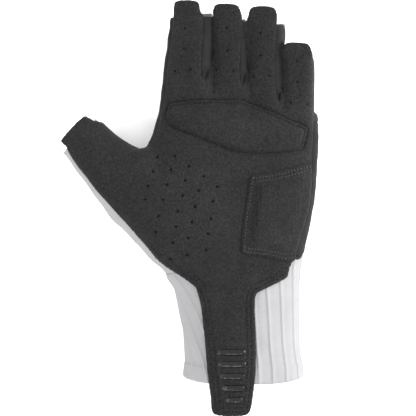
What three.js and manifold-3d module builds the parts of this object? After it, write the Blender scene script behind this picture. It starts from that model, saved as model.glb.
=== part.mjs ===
// A left-hand cycling mitt, lying on its back with the palm up, in millimetres.
// X runs to the little finger's side, Y to the fingertips, and Z up from the floor.
// The origin is on the floor under the middle of the wrist.
import * as THREE from "three";
import { mergeVertices } from "three/addons/utils/BufferGeometryUtils.js";
import Module from "manifold-3d";

const wasm = await Module();
wasm.setup();

// Hand
const palmBreadth = 90;
const handLength = 104;
const handDepth = 34;
const palmHollow = 3;
const hollowSpread = 0.45;

// Cuff
const cuffLength = 54;
const cuffWidth = 68;
const cuffDepth = 33;
const hemStep = 0.5;
const ribPitch = 8.2;
const ribHeight = 0.6;
const ribWidth = 2.4;
const cuffRound = 2.3;
const cuffSeam = { left: 0.115, right: 0.185 };
const cuffHollowPast = 0.2;

// Walls and clearances
const wall = 1.4;
const seamGap = 0.34;
const padGap = 0.3;
const backProud = 2.5;
const clearOfNext = 0.2;
const floorPress = 1.5;

// Fingers: lengths from the root line to the mouth, and widths over all
const fingers = {
  index: { root: -0.355, mouth: -0.313, length: 54, width: 24.4, rootWidth: 28.6, roll: 20, side: 5.5 },
  middle: { root: -0.069, mouth: -0.069, length: 54, width: 18.3, rootWidth: 23.6, roll: 16, side: 4 },
  ring: { root: 0.164, mouth: 0.156, length: 50, width: 22.9, rootWidth: 19.5, roll: 15, side: 4.2 },
  little: { root: 0.367, mouth: 0.362, length: 36, width: 17.2, rootWidth: 19, roll: 5, side: 0 },
};
const fingerDepth = 18.5;
const fingerRootDepth = 25;
const fingerRootHeight = 14;
const fingerRise = 4;
const fingerRootInside = 12;
const fingerFloorGap = 0.6;
const fingerRound = 3;
const fingerNarrows = { from: -0.05, to: 0.62 };
const fingerRolls = { from: -0.1, to: 0.5 };
const fingerSectionsAt = [0, 0.26, 0.5, 0.74, 1];
const tabLength = 9;
const tabWidth = 15;
const tabWidest = 0.86;
const tabFlare = 0.6;
const tabCorner = 0.22;
const pastTab = 8;
const crotchDepth = 8;
const crotchSectionsAt = [0, 0.2, 0.4, 0.7, 1];
const crotchReach = 0.6;

// Neighbouring fingers, and where their crotch lies as a share of handLength
const fingerPairs = [
  { names: ["index", "middle"], crotch: 1.168 },
  { names: ["middle", "ring"], crotch: 1.141 },
  { names: ["ring", "little"], crotch: 1.04 },
];

// Thumb: length from its root in the palm to its mouth
const thumbLength = 86;
const thumbWidth = 26.7;
const thumbAngle = 137.6;
const thumbStripShows = 5;
const stripStart = 0.1;
const stripPast = 1.6;
const thumbTabWidth = 18.8;
const thumbTabLength = 7;
const thumbTabOuter = -0.46;
const thumbTabLow = 0.45;
const thumbRound = 2.5;

// Tongue and its grip bars
const tonguePastHem = 18.5;
const tongueLength = cuffLength + tonguePastHem;
const tongueWidth = 29;
const tongueSheetPast = 4;
const bridgeWidth = 0.96;
const bridgeTop = 0.4;
const barCount = 5;
const barPitch = 6.9;
const barHeight = 3.4;
const barRise = 1.1;
const barLongest = 16.6;
const barShortens = 0.425;
const firstBar = 35.3;
const firstBarAcross = -0.186;
const barDrift = 0.0145;
const barCorners = 6;

// Side panels and pads
const bandShows = 1.5;
const bandSlope = 0.3;
const bandRows = [0.89, 0.94, 1, 1.1, 1.25, 1.45];
const bandFoot = { along: 0.66, side: 0.86 };
const bandFar = 0.4;
const bandFootRise = 12;
const panelPast = 1;
const padEdge = 0.9;
const padRise = 2.4;
const padMargin = 2.1;
const heelRise = 1.9;

// Heights of the seams, as shares of handDepth, by distance along the hand as a share of handLength
const backSeam = [
  { along: -0.9, height: 0.32 },
  { along: 0.6, height: 0.32 },
  { along: 0.95, height: 0.29 },
  { along: 1.15, height: 0.31 },
  { along: 1.55, height: 0.39 },
  { along: 1.9, height: 0.42 },
];
const sideSeam = [
  { along: 0.9, height: 0.485 },
  { along: 1.2, height: 0.53 },
  { along: 1.55, height: 0.61 },
  { along: 1.9, height: 0.68 },
];

// Sections of the hand: along in shares of handLength, left and right of palmBreadth, top of handDepth
const handRows = [
  { along: 0.03, left: -0.43, right: 0.385, lift: 0, top: 0.97, round: 2.3, hollow: 0 },
  { along: 0.12, left: -0.5, right: 0.39, lift: 0, top: 1, round: 2.3, hollow: 0 },
  { along: 0.21, left: -0.54, right: 0.42, lift: 0, top: 1.04, round: 2.4, hollow: 0.3 },
  { along: 0.36, left: -0.555, right: 0.455, lift: 0, top: 1.03, round: 2.5, hollow: 0.8 },
  { along: 0.53, left: -0.555, right: 0.481, lift: 0, top: 0.97, round: 2.6, hollow: 1 },
  { along: 0.69, left: -0.548, right: 0.495, lift: 0, top: 0.92, round: 2.7, hollow: 0.7 },
  { along: 0.85, left: -0.541, right: 0.503, lift: 0, top: 0.9, round: 2.8, hollow: 0.2 },
  { along: 0.95, left: -0.532, right: 0.501, lift: 0, top: 0.85, round: 2.8, hollow: 0 },
  { along: 1, left: -0.516, right: 0.472, lift: 0.04, top: 0.8, round: 2.8, hollow: 0 },
  { along: 1.05, left: -0.509, right: 0.22, lift: 0.12, top: 0.77, round: 2.8, hollow: 0 },
  { along: 1.12, left: -0.5, right: 0.19, lift: 0.26, top: 0.73, round: 2.8, hollow: 0 },
];

// Sections of the cuff: along in shares of cuffLength, centre and width of cuffWidth, top of cuffDepth
const cuffRows = [
  { along: 1, centre: 0.035, width: 1, top: 0.99, band: 1 },
  { along: 0.82, centre: 0.033, width: 0.992, top: 1, band: 1 },
  { along: 0.8, centre: 0.033, width: 0.985, top: 1, band: 0 },
  { along: 0.5, centre: 0.018, width: 0.985, top: 0.985, band: 0 },
  { along: 0.22, centre: -0.006, width: 1.018, top: 0.98, band: 0 },
  { along: 0.02, centre: -0.025, width: 1.065, top: 0.99, band: 0 },
];

// Sections of the thumb: along in shares of thumbLength, sides of thumbWidth, heights of handDepth
const thumbRows = [
  { along: 0, outer: 0.93, inner: 0.6, bottom: 0.03, top: 0.97, strip: 0.7 },
  { along: 0.12, outer: 0.947, inner: 0.8, bottom: 0.03, top: 1, strip: 0.75 },
  { along: 0.29, outer: 0.9, inner: 0.95, bottom: 0.04, top: 0.97, strip: 0.9 },
  { along: 0.49, outer: 0.858, inner: 0.9, bottom: 0.05, top: 0.91, strip: 1 },
  { along: 0.64, outer: 0.794, inner: 0.72, bottom: 0.06, top: 0.86, strip: 0.9 },
  { along: 0.78, outer: 0.689, inner: 0.566, bottom: 0.08, top: 0.81, strip: 0.62 },
  { along: 0.905, outer: 0.565, inner: 0.528, bottom: 0.1, top: 0.77, strip: 0.5 },
  { along: 1, outer: 0.502, inner: 0.498, bottom: 0.12, top: 0.73, strip: 0.45 },
  { along: 1.1, outer: 0.49, inner: 0.48, bottom: 0.13, top: 0.71, strip: 0.4 },
];

const RING_STEPS = 180;
const SHARPEST = 0.35;
const HAND_SIDES = 34;
const FINGER_SIDES = 20;
const THUMB_SIDES = 24;

const halfGap = seamGap / 2;

const lerp = (a, b, t) => a + (b - a) * t;
const radians = THREE.MathUtils.degToRad;
const signedPower = (v, p) => Math.sign(v) * Math.abs(v) ** p;

// The closed solid of a geometry, with its shared vertices merged.
function solidOf(geometry) {
  const bare = geometry.clone();
  bare.deleteAttribute("normal");
  bare.deleteAttribute("uv");
  const merged = mergeVertices(bare, 1e-4);
  return new wasm.Manifold(
    new wasm.Mesh({
      numProp: 3,
      vertProperties: merged.attributes.position.array,
      triVerts: new Uint32Array(merged.index.array),
    }),
  );
}

function geometryOf(solid) {
  const mesh = solid.getMesh();
  const geometry = new THREE.BufferGeometry();
  geometry.setAttribute("position", new THREE.BufferAttribute(mesh.vertProperties, 3));
  geometry.setIndex(new THREE.BufferAttribute(mesh.triVerts, 1));
  const flat = geometry.toNonIndexed();
  flat.computeVertexNormals();
  return flat;
}

const join = (...solids) => solids.reduce((a, b) => a.add(b));

// The largest body of a solid, without the slivers that a cut can leave.
function mainBody(solid) {
  const bodies = solid.decompose();
  return bodies.reduce((a, b) => (b.volume() > a.volume() ? b : a));
}

// The outline of one section: a rounded box, rolled about its middle, fitted to its own width and height.
// left and right are points on the floor plan, and outset moves the outline outwards.
function sectionRing(section, outset, shares) {
  const { left, right, bottom, top, round, roll = 0, hollow = 0 } = section;
  const half = Math.hypot(right[0] - left[0], right[1] - left[1]) / 2;
  const rise = (top - bottom) / 2;
  const turn = radians(roll);
  const raw = [];
  for (let i = 0; i < RING_STEPS; i++) {
    const angle = (i / RING_STEPS) * 2 * Math.PI;
    const across = half * signedPower(Math.cos(angle), 2 / round);
    const up = rise * signedPower(Math.sin(angle), 2 / round);
    raw.push([
      across * Math.cos(turn) - up * Math.sin(turn),
      across * Math.sin(turn) + up * Math.cos(turn),
    ]);
  }
  const widest = Math.max(...raw.map((p) => p[0]));
  const highest = Math.max(...raw.map((p) => p[1]));
  const direction = [(right[0] - left[0]) / (2 * half), (right[1] - left[1]) / (2 * half)];
  const middle = [(left[0] + right[0]) / 2, (left[1] + right[1]) / 2];
  const dense = raw.map(([across, up]) => {
    const u = (across / widest) * (half + outset);
    let z = (bottom + top) / 2 + (up / highest) * (rise + outset);
    if (up > 0) z -= hollow * Math.exp(-((u / (hollowSpread * half)) ** 2));
    z = Math.max(z, Math.max(0, -outset));
    return new THREE.Vector3(middle[0] + direction[0] * u, middle[1] + direction[1] * u, z);
  });
  return alongRing(dense, shares);
}

// Points of a dense closed outline at the given shares of its length.
function alongRing(dense, shares) {
  const lengths = [0];
  dense.forEach((p, i) => {
    lengths.push(lengths[i] + p.distanceTo(dense[(i + 1) % dense.length]));
  });
  const total = lengths[dense.length];
  let i = 0;
  return shares.map((share) => {
    const wanted = share * total;
    while (lengths[i + 1] < wanted) i++;
    const t = (wanted - lengths[i]) / (lengths[i + 1] - lengths[i]);
    return dense[i].clone().lerp(dense[(i + 1) % dense.length], t);
  });
}

const evenShares = (count) => Array.from({ length: count }, (_, i) => i / count);

// A closed solid through rings of equal count, ordered so that its faces point out.
function loft(rings) {
  const count = rings[0].length;
  const points = rings.flat();
  const indices = [];
  for (let r = 0; r + 1 < rings.length; r++) {
    for (let i = 0; i < count; i++) {
      const next = (i + 1) % count;
      const a = r * count + i;
      const b = r * count + next;
      indices.push(a, b + count, b, a, a + count, b + count);
    }
  }
  const ends = [
    { ring: 0, flip: true },
    { ring: rings.length - 1, flip: false },
  ];
  for (const { ring, flip } of ends) {
    const middle = new THREE.Vector3();
    rings[ring].forEach((p) => middle.addScaledVector(p, 1 / count));
    points.push(middle);
    for (let i = 0; i < count; i++) {
      const a = ring * count + i;
      const b = ring * count + ((i + 1) % count);
      indices.push(...(flip ? [points.length - 1, b, a].reverse() : [points.length - 1, b, a]));
    }
  }
  const geometry = new THREE.BufferGeometry();
  geometry.setFromPoints(points);
  geometry.setIndex(indices);
  const solid = solidOf(geometry);
  if (solid.volume() > 0) return solid;
  for (let i = 0; i < indices.length; i += 3) {
    [indices[i + 1], indices[i + 2]] = [indices[i + 2], indices[i + 1]];
  }
  geometry.setIndex(indices);
  return solidOf(geometry);
}

// An upright prism over an outline on the floor plan.
const LOW = -6;
const HIGH = handDepth * 2;
function prism(points, low = LOW, high = HIGH) {
  const shape = new THREE.Shape(points.map(([x, y]) => new THREE.Vector2(x, y)));
  const geometry = new THREE.ExtrudeGeometry(shape, { depth: high - low, bevelEnabled: false });
  geometry.translate(0, 0, low);
  return solidOf(geometry);
}

// The outline with every side moved outwards by a distance.
function grown(points, distance) {
  const area = points.reduce((sum, [x, y], i) => {
    const [nx, ny] = points[(i + 1) % points.length];
    return sum + x * ny - nx * y;
  }, 0);
  const sign = Math.sign(area);
  return points.map(([x, y], i) => {
    const [px, py] = points[(i + points.length - 1) % points.length];
    const [nx, ny] = points[(i + 1) % points.length];
    const before = Math.hypot(x - px, y - py);
    const after = Math.hypot(nx - x, ny - y);
    const n1 = [(sign * (y - py)) / before, (-sign * (x - px)) / before];
    const n2 = [(sign * (ny - y)) / after, (-sign * (nx - x)) / after];
    const scale = distance / Math.max(SHARPEST, 1 + n1[0] * n2[0] + n1[1] * n2[1]);
    return [x + (n1[0] + n2[0]) * scale, y + (n1[1] + n2[1]) * scale];
  });
}

// A band between two seam heights along the whole hand, or all below the lower one.
const FAR = palmBreadth * 2;
function seamSolid(lower, upper, shift) {
  const line = (rows, by) => rows.map((r) => [r.along * handLength, r.height * handDepth + by]);
  const low = lower ? line(lower, -shift) : [[-FAR, LOW], [FAR, LOW]];
  const high = line(upper, shift);
  const stretch = (rows) => {
    const first = rows[0];
    const last = rows[rows.length - 1];
    return [[-FAR, first[1]], ...rows.filter(([y]) => Math.abs(y) < FAR), [FAR, last[1]]];
  };
  const outline = [...stretch(low), ...stretch(high).reverse()];
  const unique = outline.filter(([y, z], i) => {
    const [py, pz] = outline[(i + outline.length - 1) % outline.length];
    return Math.hypot(y - py, z - pz) > 1e-6;
  });
  const shape = new THREE.Shape(unique.map(([y, z]) => new THREE.Vector2(y, z)));
  const geometry = new THREE.ExtrudeGeometry(shape, { depth: 2 * FAR, bevelEnabled: false });
  geometry.translate(0, 0, -FAR);
  geometry.applyMatrix4(new THREE.Matrix4().set(0, 0, 1, 0, 1, 0, 0, 0, 0, 1, 0, 0, 0, 0, 0, 1));
  return solidOf(geometry);
}

// Hand and cuff sections, from the hem to the finger roots
const handSections = handRows.map((row) => ({
  left: [row.left * palmBreadth, row.along * handLength],
  right: [row.right * palmBreadth, row.along * handLength],
  bottom: row.lift * handDepth - floorPress,
  top: row.top * handDepth,
  round: row.round,
  hollow: row.hollow * palmHollow,
}));
const cuffSections = cuffRows.map((row) => ({
  left: [(row.centre - row.width / 2) * cuffWidth, -row.along * cuffLength],
  right: [(row.centre + row.width / 2) * cuffWidth, -row.along * cuffLength],
  bottom: -floorPress,
  top: row.top * cuffDepth,
  round: cuffRound,
  band: row.band,
}));

function handLoft(outset, hemExtra = 0) {
  const sections = [...cuffSections, ...handSections];
  const rings = sections.map((s) => sectionRing(s, outset, evenShares(HAND_SIDES)));
  const end = rings[rings.length - 1];
  end.forEach((p) => {
    p.y += outset;
  });
  if (hemExtra) {
    rings[0].forEach((p) => {
      p.y -= hemExtra;
    });
  }
  return loft(rings);
}

// The cuff's own outside: the same sections with raised ribs and a thicker hem band
function ribbedLoft() {
  const widest = cuffSections[0];
  const outline = sectionRing(widest, 0, evenShares(RING_STEPS));
  const girth = outline.reduce((sum, p, i) => sum + p.distanceTo(outline[(i + 1) % RING_STEPS]), 0);
  const ribs = Math.round(girth / ribPitch);
  const foot = ribWidth / 2 / ribPitch;
  const shares = [];
  for (let i = 0; i < ribs; i++) {
    for (const place of [0.5 - foot, 0.5, 0.5 + foot]) shares.push((i + place) / ribs);
  }
  const sections = [...cuffSections, ...handSections.slice(0, 3)];
  const rings = sections.map((s) => {
    const low = sectionRing(s, (s.band ?? 0) * hemStep, shares);
    const high = sectionRing(s, (s.band ?? 0) * hemStep + ribHeight, shares);
    return low.map((p, i) => (i % 3 === 1 ? high[i] : p));
  });
  return loft(rings);
}

// A finger's sections, from inside the hand to past the end of its pull tab
const reach = tabLength + pastTab;
function fingerSections(finger) {
  const { root, mouth, length, width, rootWidth, roll } = finger;
  const start = handLength - fingerRootInside;
  const end = handLength + length + reach;
  const places = fingerSectionsAt.map((t) => lerp(start, end, t));
  return places.map((y) => {
    const t = (y - handLength) / length;
    const ease = THREE.MathUtils.smoothstep(t, fingerNarrows.from, fingerNarrows.to);
    const centre = lerp(root, mouth, t) * palmBreadth;
    const half = lerp(rootWidth, width, ease) / 2;
    const depth = lerp(fingerRootDepth, fingerDepth, THREE.MathUtils.clamp(t, 0, 1));
    const height = fingerRootHeight + fingerRise * THREE.MathUtils.clamp(t, 0, 1.3) ** 1.5;
    return {
      left: [centre - half, y],
      right: [centre + half, y],
      bottom: Math.max(fingerFloorGap, height - depth / 2),
      top: height + depth / 2,
      round: fingerRound,
      roll: roll * THREE.MathUtils.smoothstep(t, fingerRolls.from, fingerRolls.to),
    };
  });
}

function fingerLoft(finger, outset) {
  return loft(fingerSections(finger).map((s) => sectionRing(s, outset, evenShares(FINGER_SIDES))));
}

// The thumb's own directions on the floor plan: along to its mouth, and side to the index finger
const thumbAlong = [Math.cos(radians(thumbAngle)), Math.sin(radians(thumbAngle))];
const thumbSide = [thumbAlong[1], -thumbAlong[0]];
const thumbRoot = [-0.311 * palmBreadth, 0.29 * handLength];
const thumbPoint = (along, side) => [
  thumbRoot[0] + thumbAlong[0] * along + thumbSide[0] * side,
  thumbRoot[1] + thumbAlong[1] * along + thumbSide[1] * side,
];

function thumbLoft(outset) {
  const last = thumbRows[thumbRows.length - 1];
  const rows = [...thumbRows, { ...last, along: last.along + reach / thumbLength }];
  const sections = rows.map((row) => ({
    left: thumbPoint(row.along * thumbLength, -row.outer * thumbWidth),
    right: thumbPoint(row.along * thumbLength, row.inner * thumbWidth),
    bottom: row.bottom * handDepth,
    top: row.top * handDepth,
    round: thumbRound,
  }));
  return loft(sections.map((s) => sectionRing(s, outset, evenShares(THUMB_SIDES))));
}

// Edges of a finger on the floor plan, by its distance past the root line
function fingerEdge(finger, sideName, y) {
  const t = (y - handLength) / finger.length;
  const ease = THREE.MathUtils.smoothstep(t, fingerNarrows.from, fingerNarrows.to);
  const centre = lerp(finger.root, finger.mouth, t) * palmBreadth;
  const half = lerp(finger.rootWidth, finger.width, ease) / 2;
  return sideName === "left" ? centre - half : centre + half;
}
const mouthLine = (finger) => handLength + finger.length;

// The region of the side walls between two fingers: what the palm's edge leaves open above,
// and a wider stretch below the side seam, which reaches further under the palm's edge
function fourchetteRegion(a, b, crotch, shift) {
  const low = crotch * handLength;
  const high = Math.max(mouthLine(a), mouthLine(b)) + reach;
  const rows = crotchSectionsAt.map((t) => lerp(low + crotchDepth, high, t));
  const wallLine = rows.map((y) => [fingerEdge(a, "right", y) - a.side, y]);
  const nextLine = rows.map((y) => [fingerEdge(b, "left", y) - clearOfNext, y]);
  const foot = [(wallLine[0][0] + nextLine[0][0]) / 2, low];
  const open = prism(grown([foot, ...nextLine, ...[...wallLine].reverse()], shift));
  const middleOf = (f, y, t) => lerp(fingerEdge(f, "left", y), fingerEdge(f, "right", y), t);
  const deepRows = [low - crotchDepth, ...rows];
  const middleA = deepRows.map((y) => [middleOf(a, y, crotchReach), y]);
  const middleB = deepRows.map((y) => [middleOf(b, y, 1 - crotchReach), y]);
  const under = prism(grown([...middleB, ...middleA.reverse()], shift));
  return open.add(under.intersect(seamSolid(null, sideSeam, shift)));
}

// The band on the index finger's outer side, down to the thumb's crotch
function bandRegion(shift) {
  const top = mouthLine(fingers.index) + reach;
  const rows = bandRows.map((s) => s * handLength).concat(top);
  const slope = (y) => Math.max(0, handLength - y) * bandSlope;
  const seam = rows.map((y) => [fingerEdge(fingers.index, "left", y) - slope(y) + bandShows, y]);
  const foot = thumbPoint(thumbLength * bandFoot.along, thumbWidth * bandFoot.side);
  const far = -FAR * bandFar;
  return prism(grown([foot, ...seam, [far, top], [far, foot[1] + bandFootRise]], shift));
}

// The seam of the side panel under the little finger
const ulnarSeam = [
  { across: 0.342, along: 0.178 },
  { across: 0.378, along: 0.273 },
  { across: 0.42, along: 0.374 },
  { across: 0.441, along: 0.44 },
  { across: 0.456, along: 0.53 },
  { across: 0.464, along: 0.63 },
  { across: 0.469, along: 0.72 },
  { across: 0.47, along: 0.84 },
  { across: 0.478, along: 0.96 },
];
const handPoint = (p) => [p.across * palmBreadth, p.along * handLength];
function ulnarRegion(shift) {
  const seam = ulnarSeam.map(handPoint);
  const top = seam[seam.length - 1];
  return prism(grown([...seam, [FAR, top[1] + panelPast], [FAR, seam[0][1]]], shift));
}

// The palm's lower edge, from the thumb's outer side round the wrist to the side panel
const wristEdge = [
  { across: -0.49, along: 0.147 },
  { across: -0.415, along: 0.101 },
  { across: -0.333, along: 0.051 },
  { across: -0.284, along: 0.016 },
  { across: 0.102, along: -0.015 },
  { across: 0.217, along: 0.033 },
  { across: 0.291, along: 0.065 },
  { across: 0.31, along: 0.1 },
  { across: 0.336, along: 0.165 },
  { across: 0.378, along: 0.178 },
  { across: 0.42, along: 0.193 },
];

// All that is white when seen from the palm: the strip outside the thumb's front, and the cuff
function whiteRegion(shift) {
  const rows = thumbRows.filter((row) => row.along > stripStart).reverse();
  const strip = rows.map(({ along, outer, strip }) =>
    thumbPoint(along * thumbLength, strip * thumbStripShows - outer * thumbWidth),
  );
  const below = [[FAR, wristEdge[wristEdge.length - 1].along * handLength], [FAR, -FAR], [-FAR, -FAR]];
  const start = thumbPoint(thumbLength * stripPast, -thumbWidth);
  return prism(grown([...strip, ...wristEdge.map(handPoint), ...below, start], shift));
}

// All below the seam on the back, and the line where the cuff is sewn on there
const belowSeam = (shift) => seamSolid(null, backSeam, shift);
function cuffRegion(shift) {
  const left = [-FAR, cuffSeam.left * handLength];
  const right = [FAR, cuffSeam.right * handLength];
  return prism(grown([left, [-FAR, -FAR], [FAR, -FAR], right], shift));
}

// The tongue over the cuff, and the bridge that joins it to the palm
const tongueRows = [
  { along: -0.09, left: -0.78, right: 0.36 },
  { along: 0, left: -0.845, right: 0.32 },
  { along: 0.04, left: -0.815, right: 0.3 },
  { along: 0.14, left: -0.77, right: 0.27 },
  { along: 0.36, left: -0.705, right: 0.285 },
  { along: 0.62, left: -0.655, right: 0.305 },
  { along: 0.8, left: -0.605, right: 0.265 },
  { along: 0.94, left: -0.58, right: 0.215 },
  { along: 0.99, left: -0.49, right: 0.12 },
  { along: 1, left: -0.4, right: 0.02 },
];
const tongueLift = hemStep + ribHeight + padGap;

function tongueOutline() {
  const left = tongueRows.map((r) => [r.left * tongueWidth, -r.along * tongueLength]);
  const right = tongueRows.map((r) => [r.right * tongueWidth, -r.along * tongueLength]);
  return [...left, ...right.reverse()];
}

function tongueSheet(low, high) {
  const past = tongueLength - cuffLength + tongueSheetPast;
  return handLoft(high, past).subtract(handLoft(low, past + 1));
}

function tongue() {
  const sheet = tongueSheet(tongueLift, tongueLift + wall);
  const bridge = tongueSheet(-wall / 2, tongueLift + wall);
  const top = handDepth / 2;
  const root = tongueOutline().filter(([, y]) => y > -1);
  const start = [...root.map(([x, y]) => [x * bridgeWidth, Math.max(y, bridgeTop)])];
  return join(
    sheet.intersect(prism(tongueOutline(), top)),
    bridge.intersect(prism(start, top)).subtract(whiteRegion(halfGap)),
  );
}

// The pull tab that a finger's front keeps past its mouth
function fingerTab(finger) {
  const y = mouthLine(finger);
  const left = fingerEdge(finger, "left", y);
  const right = fingerEdge(finger, "right", y) - finger.side;
  const middle = (left + right) / 2;
  const half = Math.min(tabWidth, (right - left) * tabWidest) / 2;
  const corner = half * tabCorner;
  const outline = [
    [middle - half - tabFlare, y - wall],
    [middle + half + tabFlare, y - wall],
    [middle + half, y + tabLength - corner],
    [middle + half - corner, y + tabLength],
    [middle - half + corner, y + tabLength],
    [middle - half, y + tabLength - corner],
  ];
  return prism(outline).subtract(seamSolid(null, sideSeam, halfGap));
}

// All past a finger's mouth, moved on by a distance
function pastMouth(finger, by) {
  const y = mouthLine(finger) + by;
  const left = fingerEdge(finger, "left", y) - finger.width;
  const right = fingerEdge(finger, "right", y) + finger.width;
  return prism([[left, y], [right, y], [right, y + reach * 2], [left, y + reach * 2]]);
}

function thumbTab() {
  const outer = thumbTabOuter * thumbTabWidth;
  const inner = outer + thumbTabWidth;
  const end = thumbLength + thumbTabLength;
  const outline = [
    thumbPoint(thumbLength - wall, outer),
    thumbPoint(end, outer),
    thumbPoint(end, inner),
    thumbPoint(thumbLength - wall, inner),
  ];
  return prism(outline, handDepth * thumbTabLow);
}

function pastThumbMouth(by) {
  const start = thumbLength + by;
  const corners = [
    [start, -thumbWidth],
    [start, thumbWidth],
    [start + thumbLength, thumbWidth],
    [start + thumbLength, -thumbWidth],
  ];
  return prism(corners.map(([along, side]) => thumbPoint(along, side)));
}

// The outer form: its front keeps the tabs, and its back stands a little proud of the front mouths
const fingerList = Object.values(fingers);
const hollowForm = join(
  handLoft(-wall, cuffLength * cuffHollowPast),
  thumbLoft(-wall),
  ...fingerList.map((f) => fingerLoft(f, -wall)),
);
const frontForm = join(
  handLoft(0),
  thumbLoft(0).subtract(pastThumbMouth(0).subtract(thumbTab())),
  ...fingerList.map((f) => fingerLoft(f, 0).subtract(pastMouth(f, 0).subtract(fingerTab(f)))),
);
const backForm = join(
  handLoft(0),
  thumbLoft(0).subtract(pastThumbMouth(backProud)),
  ...fingerList.map((f) => fingerLoft(f, 0).subtract(pastMouth(f, backProud))),
);
const frontShell = frontForm.subtract(hollowForm);
const backShell = backForm.subtract(hollowForm);

// Pads and bars lie on the palm with a small gap
const padBed = join(
  handLoft(padGap),
  thumbLoft(padGap),
  ...fingerList.map((f) => fingerLoft(f, padGap)),
);
const upperPadRows = [
  { across: -0.48, along: 1.043 },
  { across: -0.3, along: 1.06 },
  { across: -0.05, along: 1.06 },
  { across: 0.04, along: 1.05 },
  { across: 0.17, along: 1.003 },
  { across: 0.3, along: 0.955 },
  { across: 0.435, along: 0.909 },
  { across: 0.405, along: 0.785 },
  { across: 0.33, along: 0.768 },
  { across: 0.1, along: 0.76 },
  { across: -0.06, along: 0.783 },
  { across: -0.25, along: 0.85 },
  { across: -0.46, along: 0.932 },
];
const heelPadRows = [
  { across: 0.066, along: 0.637 },
  { across: 0.135, along: 0.645 },
  { across: 0.25, along: 0.664 },
  { across: 0.45, along: 0.705 },
  { across: 0.447, along: 0.63 },
  { across: 0.424, along: 0.443 },
  { across: 0.402, along: 0.374 },
  { across: 0.36, along: 0.273 },
  { across: 0.318, along: 0.165 },
  { across: 0.2, along: 0.178 },
  { across: 0.06, along: 0.191 },
  { across: 0.012, along: 0.22 },
  { across: 0.014, along: 0.335 },
  { across: 0.05, along: 0.56 },
];

function pad(rows, rise) {
  const outline = rows.map(handPoint);
  const edge = handLoft(padGap + padEdge).intersect(prism(outline, handDepth / 2));
  const plateau = handLoft(padGap + rise).intersect(prism(grown(outline, -padMargin), handDepth / 2));
  return join(edge, plateau).subtract(padBed);
}

function gripBar(number) {
  const length = barLongest - barShortens * number ** 2;
  const half = barHeight / 2;
  const centre = [(barDrift * number + firstBarAcross) * tongueWidth, -firstBar - number * barPitch];
  const outline = [];
  for (const side of [1, -1]) {
    for (let i = 0; i <= barCorners; i++) {
      const angle = -Math.PI / 2 + (i / barCorners) * Math.PI;
      outline.push([
        centre[0] + side * (length / 2 - half + half * Math.cos(angle)),
        centre[1] + side * half * Math.sin(angle),
      ]);
    }
  }
  const bed = tongueLift + wall + padGap;
  return tongueSheet(bed, bed + barRise).intersect(prism(outline, handDepth / 2));
}

// Panels cut from the shells
const black = frontShell.subtract(belowSeam(halfGap)).subtract(whiteRegion(halfGap));
const fourchettes = fingerPairs.map(({ names: [a, b], crotch }) => ({
  name: `fourchette_${a}_${b}`,
  region: (shift) => fourchetteRegion(fingers[a], fingers[b], crotch, shift),
}));

function palmPanel() {
  const cutters = [...fourchettes.map((f) => f.region(halfGap)), bandRegion(halfGap), ulnarRegion(halfGap)];
  const panel = cutters.reduce((solid, cutter) => solid.subtract(cutter), black);
  return join(panel, tongue());
}

const white = backShell.intersect(join(belowSeam(-halfGap), whiteRegion(-halfGap)));

function cuff() {
  const ribbed = ribbedLoft().subtract(hollowForm);
  const region = cuffRegion(-halfGap).intersect(join(belowSeam(-halfGap), whiteRegion(-halfGap)));
  return ribbed.intersect(region);
}

// Materials
const suede = new THREE.MeshStandardMaterial({ color: 0x35353a, roughness: 0.9, metalness: 0 });
const sideCloth = new THREE.MeshStandardMaterial({ color: 0x2b2b30, roughness: 0.85, metalness: 0 });
const whiteCloth = new THREE.MeshStandardMaterial({ color: 0xf0f0f2, roughness: 0.8, metalness: 0 });
const silicone = new THREE.MeshStandardMaterial({ color: 0x1c1c20, roughness: 0.25, metalness: 0 });

const glove = new THREE.Group();
glove.name = "cycling_glove";

function addPiece(name, solid, material) {
  const mesh = new THREE.Mesh(geometryOf(mainBody(solid)), material);
  mesh.name = name;
  glove.add(mesh);
}

addPiece("palm_panel", palmPanel(), suede);
addPiece("back_panel", white.subtract(cuffRegion(halfGap)), whiteCloth);
addPiece("cuff", cuff(), whiteCloth);
for (const { name, region } of fourchettes) {
  addPiece(name, black.intersect(region(-halfGap)), sideCloth);
}
addPiece("index_side_panel", black.intersect(bandRegion(-halfGap)), sideCloth);
addPiece("ulnar_side_panel", black.intersect(ulnarRegion(-halfGap)), sideCloth);
addPiece("palm_pad", pad(upperPadRows, padRise), suede);
addPiece("heel_pad", pad(heelPadRows, heelRise), suede);
for (let number = 0; number < barCount; number++) {
  addPiece(`grip_bar_${number + 1}`, gripBar(number), silicone);
}

export default glove;
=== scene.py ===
"""A left-hand half-finger cycling mitt, lying on its back with the palm up.

Lengths are in millimetres until a mesh is made. X runs to the little finger, Y to the fingertips, Z up.
"""
import math

import bpy
import numpy as np
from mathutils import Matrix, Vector
from mathutils.bvhtree import BVHTree
from mathutils.kdtree import KDTree


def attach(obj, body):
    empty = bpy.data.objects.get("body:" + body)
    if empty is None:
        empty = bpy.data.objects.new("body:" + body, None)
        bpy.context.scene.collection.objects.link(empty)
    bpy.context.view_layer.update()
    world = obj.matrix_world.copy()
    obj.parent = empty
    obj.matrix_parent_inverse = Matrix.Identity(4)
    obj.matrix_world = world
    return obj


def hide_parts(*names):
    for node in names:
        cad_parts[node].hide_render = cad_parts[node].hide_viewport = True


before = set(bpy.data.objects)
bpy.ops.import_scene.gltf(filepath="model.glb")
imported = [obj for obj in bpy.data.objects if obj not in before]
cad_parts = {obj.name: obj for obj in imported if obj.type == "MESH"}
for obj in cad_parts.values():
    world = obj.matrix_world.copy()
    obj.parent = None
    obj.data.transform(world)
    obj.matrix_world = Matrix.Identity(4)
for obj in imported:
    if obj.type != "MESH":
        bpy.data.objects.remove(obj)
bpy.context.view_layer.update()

MM = 0.001
SEED = 7

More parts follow.
